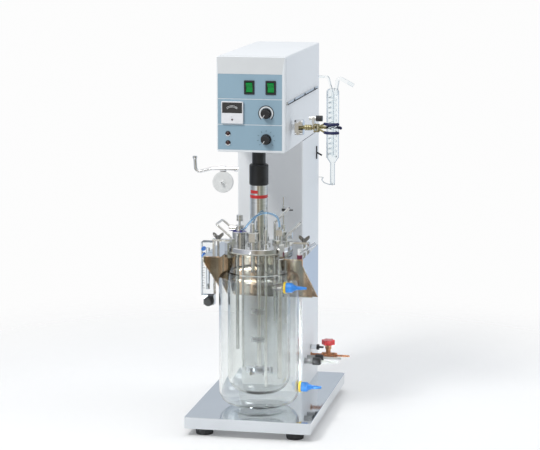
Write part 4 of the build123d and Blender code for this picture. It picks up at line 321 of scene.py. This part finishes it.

# Housing: hose hook, port of the thin line, brow over the panel, grooves between the panel's fields,
# painted shadow in black on the underside of the rail, and the motor's spigot below the head
margin = 0.0003          # by which a face's centre has to be past a place
facing = 0.5             # part of a normal along a direction, from which a face counts as turned that way
squarely = 0.9           # the same, without the rounded edges round a flat face
dress("column_shell", white_paint, (lambda c, n: c.x > head_high.x + margin, black_plastic))
dress("rear_cover", white_paint, (lambda c, n: c.y > cover_face + margin, barb_white))
dress("front_bezel", white_paint, (lambda c, n: c.z > panel_top and n.y < -squarely, bezel_grey))
dress("control_panel", panel_blue, (lambda c, n: n.y < -facing and c.y > head_front + margin, white_line))
# Black underside of the rail: painted shadow
dress("side_rail", rail_steel, (lambda c, n: n.z < -facing, black_plastic))
dress("drive_motor", motor_grey, (lambda c, n: c.z < head_low.z + margin, anodised_black))


# Bracket: painted reflections of the room in front, as warm streaks, on the faces turned inwards
def turned_inwards(c, n):
    """Whether a face is turned neither up, nor back, nor outwards."""
    outwards = n.x if c.x > 0 else -n.x
    return max(n.z, n.y, outwards) < facing


dress("shelf_bracket", bracket_steel, (turned_inwards, bracket_painted_reflection))

# Yellow collars of the two hose caps, which end further out on the lower one
upper_collar_end, lower_collar_end = 0.0800, 0.1026
between_caps = 0.2
dress("hose_caps", cap_blue,
      (lambda c, n: c.x < (upper_collar_end if c.z > between_caps else lower_collar_end), cap_yellow))

# Violet ring of the addition port
ring_bottom, ring_top = 0.462, 0.4655
dress("addition_port", bright_steel, (lambda c, n: ring_bottom < c.z < ring_top, ring_violet))

# Rotameter: the steel valve block under the body
rotameter_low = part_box("rotameter_body")[0]
dress("rotameter_fittings", fitting_blue, (lambda c, n: c.z < rotameter_low.z + margin, plate_steel))

# Water row: barbs of the sockets, clear elbow of the vent, stem of the handwheel
barb_start = 0.1012
elbow_end, elbow_bottom = 0.0951, 0.125
stem_top = 0.1425
dress("water_sockets", socket_grey, (lambda c, n: c.x > barb_start, barb_white))
dress("union_nuts", black_plastic, (lambda c, n: c.x < elbow_end and c.z > elbow_bottom, elbow_clear))
dress("valve_handwheel", wheel_red, (lambda c, n: c.z < stem_top, bronze))

# Clamp: sleeves on the fingers, nickel lug and screw, bronze rod and hub
arm_sleeve_start, jaw_sleeve_start = 0.158, 0.1565
lug_left, lug_right, lug_bottom = 0.1295, 0.137, 0.7275
shank_end = 0.1385
dress("clamp_arm", barrel_bronze, (lambda c, n: c.x > arm_sleeve_start, sleeve_blue),
      (lambda c, n: lug_left < c.x < lug_right and c.z > lug_bottom, pale_nickel))
dress("clamp_jaw", sleeve_blue, (lambda c, n: c.x < jaw_sleeve_start, barrel_bronze))
dress("jaw_screw", black_plastic, (lambda c, n: c.x < shank_end, pale_nickel))

# Sample spout: its seal on the shelf and the white collar above
seal_top, seal_side = 0.4221, 0.114
collar_top, collar_side = 0.4365, 0.1118
dress("sample_spout", spout_clear, (lambda c, n: c.z < seal_top and c.x < seal_side, band_maroon),
      (lambda c, n: seal_top < c.z < collar_top and c.x < collar_side, filter_white))


# ======================================== small pieces
def piece(name, build, look, body="stand", smooth=True):
    """Object of the scene alone, filled by build(bm), that rides on a body."""
    bm = bmesh.new()
    build(bm)
    bmesh.ops.recalc_face_normals(bm, faces=bm.faces)
    mesh = bpy.data.meshes.new(name)
    bm.to_mesh(mesh)
    bm.free()
    thing = bpy.data.objects.new(name, mesh)
    bpy.context.scene.collection.objects.link(thing)
    mesh.materials.append(look.material)
    if smooth:
        mesh.polygons.foreach_set("use_smooth", [True] * len(mesh.polygons))
        mesh.set_sharp_from_angle(angle=math.radians(35))
    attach(thing, body)


def block(bm, centre, size, bevel=0.0):
    """Box, with bevelled edges if a bevel is given."""
    made = bmesh.ops.create_cube(bm, size=1, matrix=Matrix.LocRotScale(centre, None, size))
    if bevel:
        edges = list({e for v in made["verts"] for e in v.link_edges})
        bmesh.ops.bevel(bm, geom=edges, offset=bevel, segments=2, affect="EDGES")


def dial_mark(bm, centre, reach, angle, size):
    """Box on a face turned to -Y, at a reach from a centre and at an angle, anticlockwise from +X."""
    turn = Matrix.Rotation(-math.radians(angle), 4, "Y")
    place = Matrix.Translation(centre) @ turn @ Matrix.Translation((reach, 0, 0))
    bmesh.ops.create_cube(bm, size=1, matrix=place @ Matrix.Diagonal((*size, 1)))


def directions(start, end, steps):
    """(cosine, sine) at even steps from angle start to end, in degrees."""
    angles = [math.radians(start + (end - start) * i / steps) for i in range(steps + 1)]
    return [(math.cos(angle), math.sin(angle)) for angle in angles]


def strip(bm, sections):
    """Solid band through four-cornered sections."""
    rows = [[bm.verts.new(corner) for corner in section] for section in sections]
    for a, b in zip(rows, rows[1:]):
        for k in range(4):
            bm.faces.new((a[k], b[k], b[(k + 1) % 4], a[(k + 1) % 4]))
    bm.faces.new(rows[0])
    bm.faces.new(rows[-1])


def front_arc(bm, centre, inner, outer, start, end, proud, steps=64):
    """Flat arc that stands proud of a face turned to -Y, anticlockwise from +X."""
    x, y, z = centre
    section = ((inner, 0), (inner, proud), (outer, proud), (outer, 0))
    strip(bm, [[(x + r * c, y - h, z + r * s) for r, h in section] for c, s in directions(start, end, steps)])


def drive_arc(bm, radius, start, end, bottom, top, proud, steps):
    """Curved plate round the drive's axis, anticlockwise from +X as seen from above."""
    section = ((radius, bottom), (radius + proud, bottom), (radius + proud, top), (radius, top))
    strip(bm, [[(r * c, axis_y + r * s, z) for r, z in section] for c, s in directions(start, end, steps)])


def turned(bm, profile, origin, direction, steps=48):
    """Surface turned about a line from (radius, distance) pairs."""
    along = Vector(direction).normalized()
    across = along.orthogonal().normalized()
    third = along.cross(across)
    rows = []
    for i in range(steps):
        angle = 2 * math.pi * i / steps
        out = across * math.cos(angle) + third * math.sin(angle)
        rows.append([bm.verts.new(Vector(origin) + out * r + along * d) for r, d in profile])
    for i in range(steps):
        a, b = rows[i], rows[(i + 1) % steps]
        for k in range(len(profile) - 1):
            bm.faces.new((a[k], b[k], b[k + 1], a[k + 1]))
    bmesh.ops.holes_fill(bm, edges=[e for e in bm.edges if e.is_boundary])


def screw_head(name, origin, direction, look, radius, top_radius, edge, height, steps=32):
    """Low screw head with a sloping shoulder above its edge."""
    profile = [(0, 0), (radius, 0), (radius, edge), (top_radius, height), (0, height)]
    piece(name, lambda bm: turned(bm, profile, origin, direction, steps), look)


# ---------------------------------------- soft lines
def soft_line(name, points, thickness, look, node):
    """Soft tube on a smooth curve led by the route's points, instead of the node's plain solid."""
    data = bpy.data.curves.new(name, "CURVE")
    data.dimensions = "3D"
    data.bevel_depth = thickness / 2
    data.bevel_resolution = 5
    data.resolution_u = 14
    data.use_fill_caps = True
    spline = data.splines.new("NURBS")
    spline.points.add(len(points) - 1)
    for point, place in zip(spline.points, points):
        point.co = (*place, 1)
    spline.order_u = 3
    spline.use_endpoint_u = True
    data.materials.append(look.material)
    curve = bpy.data.objects.new(name, data)
    bpy.context.scene.collection.objects.link(curve)
    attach(curve, "stand")
    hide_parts(node)
    return curve


feed_line = soft_line("feed_line", [
    (-0.04273, -0.10289, 0.4695), (-0.03371, -0.12073, 0.4695), (-0.0200, -0.12857, 0.4881),
    (-0.00371, -0.13256, 0.50577), (0.0160, -0.13244, 0.5160), (0.0370, -0.12643, 0.51298),
    (0.0520, -0.1185, 0.49998), (0.0520, -0.1185, 0.4800)], 0.005, silicone_blue, "feed_tube")

capillary = soft_line("capillary", [
    (0.17561, -0.11459, 0.58634), (0.16284, -0.06122, 0.57516), (0.1483, -0.00521, 0.56802),
    (0.13449, 0.04992, 0.5610), (0.11953, 0.10505, 0.55398), (0.10759, 0.1550, 0.55002),
    (0.09608, 0.20606, 0.54498), (0.0890, 0.2438, 0.5430), (0.0890, 0.2755, 0.5430),
    (0.0630, 0.2755, 0.5430), (0.0630, 0.2595, 0.5430)], 0.0025, silicone_clear, "condenser_line")

# ---------------------------------------- dials and pointers of the two knobs
print_height = 0.0002        # of printed arcs above their face
mark_depth = 0.0003          # of marks, whose backs are sunk in their face
mark_lift = 0.0001           # from a face out to the middle of a mark


def knob_place(name):
    """Centre of a knob as (x, z)."""
    low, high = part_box(name)
    return (low.x + high.x) / 2, (low.z + high.z) / 2


speed_x, speed_z = knob_place("speed_knob")
dial_start, dial_end = -50, 230
for arc_name, inner, outer, arc_look in (("speed_dial_ring", 0.0132, 0.0162, white_line),
                                         ("speed_dial_arc", 0.0166, 0.0184, black_plastic)):
    piece(arc_name, lambda bm: front_arc(
        bm, (speed_x, head_front, speed_z), inner, outer, dial_start, dial_end, print_height), arc_look)

tick_intervals = 8
tick_start, tick_sweep = -40, 260
tick_reach = 0.0195
tick_size = (0.0036, mark_depth, 0.0007)


def tick_marks(bm):
    x, z = knob_place("temperature_knob")
    for step in range(tick_intervals + 1):
        angle = tick_start + tick_sweep * step / tick_intervals
        dial_mark(bm, (x, head_front - mark_lift, z), tick_reach, angle, tick_size)


piece("temperature_dial_ticks", tick_marks, meter_black, smooth=False)

pointer_angle = 240
pointer_reach = 0.0062
pointer_size = (0.0075, 0.0005, 0.0011)
for knob in ("speed_knob", "temperature_knob"):
    knob_x, knob_z = knob_place(knob)
    knob_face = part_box(knob)[0].y
    piece(knob + "_pointer", lambda bm: dial_mark(
        bm, (knob_x, knob_face - mark_lift, knob_z), pointer_reach, pointer_angle, pointer_size),
        white_line, knob, smooth=False)

# ---------------------------------------- lamps: black rims, each with a painted white highlight below
lamp_x, lamp_levels = -0.0535, (0.7075, 0.686)
rim_inner, rim_outer = 0.0046, 0.0062
rim_middle = (rim_inner + rim_outer) / 2
rim_profile = [(rim_inner, 0), (rim_outer, 0), (rim_outer, 0.0006), (rim_middle, 0.0013), (rim_inner, 0.0009),
               (rim_inner, 0)]
painted_glint_start, painted_glint_end = 200, 340
painted_glint_foot = head_front - 0.0012
painted_glint_height = 0.0004
for number, lamp_z in enumerate(lamp_levels):
    piece(f"lamp_rim_{number}", lambda bm: turned(
        bm, rim_profile, (lamp_x, head_front, lamp_z), (0, -1, 0)), meter_black)
    # White arc along the rim's lower edge: a painted highlight
    piece(f"lamp_painted_glint_{number}", lambda bm: front_arc(
        bm, (lamp_x, painted_glint_foot, lamp_z), rim_inner, rim_outer, painted_glint_start, painted_glint_end, painted_glint_height),
        white_line)

# ---------------------------------------- meter: black dial over a white cover with a screw
meter_low, meter_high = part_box("panel_meter")
meter_face = meter_low.y
meter_x = (meter_low.x + meter_high.x) / 2
dial_inset = 0.0022
dial_bottom = meter_low.z + 0.0245
dial_top = meter_high.z - dial_inset
dial_width = meter_high.x - meter_low.x - 2 * dial_inset
dial_thickness = 0.0007
dial_face = meter_face - dial_thickness / 2
dial_middle = (dial_bottom + dial_top) / 2
dial_bevel = 0.0002
arcs_middle = dial_bottom - 0.002    # level of the arcs' common centre
piece("meter_dial", lambda bm: block(
    bm, (meter_x, meter_face, dial_middle), (dial_width, dial_thickness, dial_top - dial_bottom), dial_bevel),
    meter_black)
arc_width = 0.0005
for number, (radius, half_angle) in enumerate(((0.0155, 46), (0.0190, 42))):
    piece(f"meter_arc_{number}", lambda bm: front_arc(
        bm, (meter_x, dial_face, arcs_middle), radius, radius + arc_width, 90 - half_angle, 90 + half_angle,
        print_height), white_line)

scale_start, scale_step = 48, 8.4
scale_reach = 0.0173
scale_face = meter_face - 0.0004
long_mark, short_mark, mark_width = 0.0030, 0.0019, 0.0006


def scale_marks(bm):
    for step in range(11):
        angle = scale_start + scale_step * step
        size = (long_mark if step % 5 == 0 else short_mark, mark_depth, mark_width)
        dial_mark(bm, (meter_x, scale_face, arcs_middle), scale_reach, angle, size)


piece("meter_marks", scale_marks, white_line, smooth=False)
screw_head("meter_screw", (meter_x, meter_face + 0.0002, meter_low.z + 0.0095), (0, -1, 0), lamp_dark,
           radius=0.0021, top_radius=0.0015, edge=0.0008, height=0.0013)

# ---------------------------------------- side rail: black strip of painted shadow along its lower edge, and three black screws
sunk = 0.0001                # depth of a screw head's foot in its face
rail_low, rail_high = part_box("side_rail")
# Black strip along the rail's lower edge: painted shadow under the rail
shadow_strip_centre = (rail_high.x, (rail_low.y + rail_high.y) / 2, rail_low.z + 0.0011)
shadow_strip_size = (0.0006, rail_high.y - rail_low.y - 0.001, 0.0022)
shadow_strip_bevel = 0.0002
piece("rail_shadow_strip", lambda bm: block(bm, shadow_strip_centre, shadow_strip_size, shadow_strip_bevel), black_rubber)
rail_screw_z = (rail_low.z + rail_high.z) / 2 + 0.0006       # middle of the rail above its black strip of painted shadow
rail_screw_places = (-0.098, 0.033, 0.165)
for number, screw_y in enumerate(rail_screw_places):
    screw_head(f"rail_screw_{number}", (rail_high.x - sunk, screw_y, rail_screw_z), (1, 0, 0), black_plastic,
               radius=0.0034, top_radius=0.0026, edge=0.0006, height=0.0013)

# ---------------------------------------- joint between the bezel and the head's sleeve
seam_width, seam_proud = 0.0007, 0.0003
seam_short = 0.010           # less than a side's length, so that the rounded corners stay free


def bezel_seam(bm):
    head_middle = (head_low.z + head_high.z) / 2
    upright = (seam_proud, seam_width, head_high.z - head_low.z - seam_short)
    across = (head_high.x - head_low.x - seam_short, seam_width, seam_proud)
    block(bm, (head_high.x, bezel_high.y, head_middle), upright)
    block(bm, (0, bezel_high.y, head_high.z), across)
    block(bm, (head_low.x, bezel_high.y, head_middle), upright)


piece("bezel_seam", bezel_seam, socket_grey, smooth=False)

# ---------------------------------------- plain red field and band on the drive's housing
label_radius = 0.0207
for label, start, end, bottom, top, steps in (("housing_field", 213, 274, 0.5585, 0.5660, 28),
                                              ("housing_band", 183, 387, 0.5470, 0.5545, 90)):
    piece(label, lambda bm: drive_arc(
        bm, label_radius, start, end, bottom, top, print_height, steps), label_red)

# ---------------------------------------- plain flow marks on the rotameter
flow_start, flow_pitch = 0.018, 0.0062
flow_inset, flow_lift = 0.0035, 0.00005
long_flow, short_flow, flow_width = 0.0075, 0.0045, 0.0008


def flow_marks(bm):
    for step in range(15):
        length = long_flow if step % 2 == 0 else short_flow
        centre = (rotameter_low.x + flow_inset + length / 2, rotameter_low.y - flow_lift,
                  rotameter_low.z + flow_start + step * flow_pitch)
        block(bm, centre, (length, mark_depth, flow_width))


piece("flow_marks", flow_marks, meter_black, smooth=False)

# ---------------------------------------- screws of the rear cover, in two upright rows
cover_screw_x = 0.070
cover_screw_levels = (0.060, 0.28, 0.50, 0.72, 0.868)
cover_screws = [(side * cover_screw_x, level) for side in (-1, 1) for level in cover_screw_levels]
for number, (screw_x, screw_z) in enumerate(cover_screws):
    screw_head(f"cover_screw_{number}", (screw_x, cover_face - sunk, screw_z), (0, 1, 0), bright_steel,
               radius=0.0036, top_radius=0.0022, edge=0.0006, height=0.0016, steps=24)

# ======================================== stage
bpy.ops.mesh.primitive_circle_add(vertices=96, radius=2.6, fill_type="NGON", location=(0, 0, -0.0004))
floor = bpy.context.active_object
floor.name = "floor"
floor_look = Look("floor_pale", (0.93, 0.93, 0.93), 0.85)
floor_look.tint(0.008, 3).sheen_spread(0.05, 12)
floor_look.set(Emission_Color=(1, 1, 1, 1), Emission_Strength=0.12)

# The floor fades out towards its rim
from_middle = floor_look.add("ShaderNodeVectorMath", operation="LENGTH")
floor_look.link(floor_look.place, from_middle.inputs[0])
fade = floor_look.span(from_middle.outputs["Value"], 0.55, 1.5, 1.0, 0.0, smooth=True)
floor_look.link(fade, floor_look.shader.inputs["Alpha"])
floor.data.materials.append(floor_look.material)

# ---------------------------------------- world
world = bpy.context.scene.world or bpy.data.worlds.new("studio")
bpy.context.scene.world = world
world.use_nodes = True
sky = Shading(world.node_tree)
sky.tree.nodes.clear()
view = sky.add("ShaderNodeSeparateXYZ")
sky.link(sky.add("ShaderNodeTexCoord").outputs["Generated"], view.inputs["Vector"])
white = (1.0, 1.0, 1.0)

# What metal and glass mirror: a warm room in front and a pale cool wall behind, banded from left to right,
# over a dark floor and under a white ceiling
heading = sky.span(view.outputs["X"], -1, 1)
level = sky.span(view.outputs["Z"], -1, 1)
front_bands = sky.ramp(heading, [
    (0.0, (0.36, 0.38, 0.40)), (0.12, (0.56, 0.58, 0.62)), (0.26, (0.92, 0.95, 1.0)),
    (0.35, (0.95, 0.95, 0.95)), (0.39, (0.62, 0.59, 0.53)), (0.42, (0.56, 0.52, 0.44)),
    (0.52, (0.30, 0.25, 0.19)), (0.60, (0.50, 0.46, 0.36)), (0.70, (0.62, 0.60, 0.52)),
    (0.78, (0.30, 0.30, 0.24)), (0.92, (0.30, 0.32, 0.27)), (1.0, (0.58, 0.60, 0.58))])
back_bands = sky.ramp(heading, [
    (0.0, (0.36, 0.38, 0.40)), (0.05, (0.62, 0.66, 0.72)), (0.30, (0.60, 0.66, 0.74)),
    (0.50, (0.70, 0.78, 0.88)), (0.62, (0.58, 0.67, 0.80)), (0.82, (0.52, 0.58, 0.62)),
    (0.94, (0.85, 0.88, 0.90)), (1.0, (0.58, 0.60, 0.58))])
bands = sky.mix(sky.span(view.outputs["Y"], -0.1, 0.1), front_bands, back_bands)
banded = sky.mix(sky.span(view.outputs["Z"], 0.12, 0.5), bands, (*white, 1))
front_levels = sky.ramp(level, [
    (0.0, (0.10, 0.08, 0.06)), (0.34, (0.42, 0.36, 0.30)), (0.40, white), (1.0, white)])
back_levels = sky.ramp(level, [
    (0.0, (0.40, 0.38, 0.34)), (0.38, (0.90, 0.94, 1.0)), (0.50, white), (0.60, (0.80, 0.82, 0.84)),
    (0.72, white), (1.0, white)])
levels = sky.mix(sky.span(view.outputs["Y"], -0.2, 0.2), front_levels, back_levels)
mirrored = sky.mix(1.0, levels, banded, "MULTIPLY")


def background(colour, strength):
    shader = sky.add("ShaderNodeBackground")
    sky.feed(colour, shader.inputs["Color"])
    shader.inputs["Strength"].default_value = strength
    return shader.outputs["Background"]


def either(choice, zero, one):
    """The first shader where the choice is 0 and the second where it is 1."""
    mix = sky.add("ShaderNodeMixShader")
    sky.link(choice, mix.inputs["Fac"])
    sky.link(zero, mix.inputs[1])
    sky.link(one, mix.inputs[2])
    return mix.outputs["Shader"]


# Rough surfaces get a soft even light, metal and glass mirror the room, and the camera sees white, also
# through glass. A ray that has met metal keeps to the room when it then leaves through glass.
path = sky.add("ShaderNodeLightPath").outputs
unmirrored = sky.calculate("LESS_THAN", path["Glossy Depth"], 0.5)
through_glass = sky.calculate("MULTIPLY", path["Is Transmission Ray"], unmirrored)
seen_directly = sky.calculate("MAXIMUM", path["Is Camera Ray"], through_glass)
from_mirror = sky.calculate("MAXIMUM", path["Is Glossy Ray"], path["Is Transmission Ray"])
soft = background((0.93, 0.96, 1.0, 1), 0.56)
room = background(mirrored, 0.95)
seen = background((*white, 1), 0.98)
world_shader = either(seen_directly, either(from_mirror, soft, room), seen)
sky.link(world_shader, sky.add("ShaderNodeOutputWorld").inputs["Surface"])

# ---------------------------------------- lamps, whose light passes the clear vessel
clear_pieces = bpy.data.collections.new("clear_pieces")
for node_name in ("inner_vessel", "water_jacket"):
    clear_pieces.objects.link(nodes[node_name])
for member in clear_pieces.collection_objects:
    member.light_linking.link_state = "EXCLUDE"


def area_light(name, place, target, size, energy, colour=(1, 1, 1), spread=180):
    """Rectangular lamp that points at a target, with its cone's spread in degrees."""
    data = bpy.data.lights.new(name, "AREA")
    data.spread = math.radians(spread)
    data.shape = "RECTANGLE"
    data.size, data.size_y = size
    data.energy = energy
    data.color = colour
    lamp = bpy.data.objects.new(name, data)
    lamp.location = place
    lamp.rotation_euler = (Vector(target) - Vector(place)).to_track_quat("-Z", "Y").to_euler()
    bpy.context.scene.collection.objects.link(lamp)
    lamp.light_linking.blocker_collection = clear_pieces


area_light("key", (-0.95, -1.85, 2.55), (0, -0.05, 0.5), (0.7, 0.7), 39, (1.0, 0.99, 0.97))
area_light("fill", (2.4, 0.9, 1.2), (0, 0.1, 0.5), (1.6, 1.6), 14, (0.93, 0.97, 1.0))
area_light("front", (-0.7, -2.1, 0.10), (0, 0, 0.17), (0.3, 0.2), 0.48, (0.90, 0.96, 1.0), 12)
area_light("top", (0.1, 0.4, 2.6), (0, 0, 0.4), (1.6, 1.6), 7)

# ---------------------------------------- camera, placed as in the photograph
camera_data = bpy.data.cameras.new("camera")
camera = bpy.data.objects.new("camera", camera_data)
camera.location = (0.9224, -4.5452, 1.2607)
camera.rotation_euler = Vector((-0.1949, 0.9661, -0.1694)).to_track_quat("-Z", "Y").to_euler()
camera_data.sensor_width = 36
camera_data.lens = 130.4
bpy.context.scene.collection.objects.link(camera)
bpy.context.scene.camera = camera
bpy.context.scene.view_settings.view_transform = "Standard"
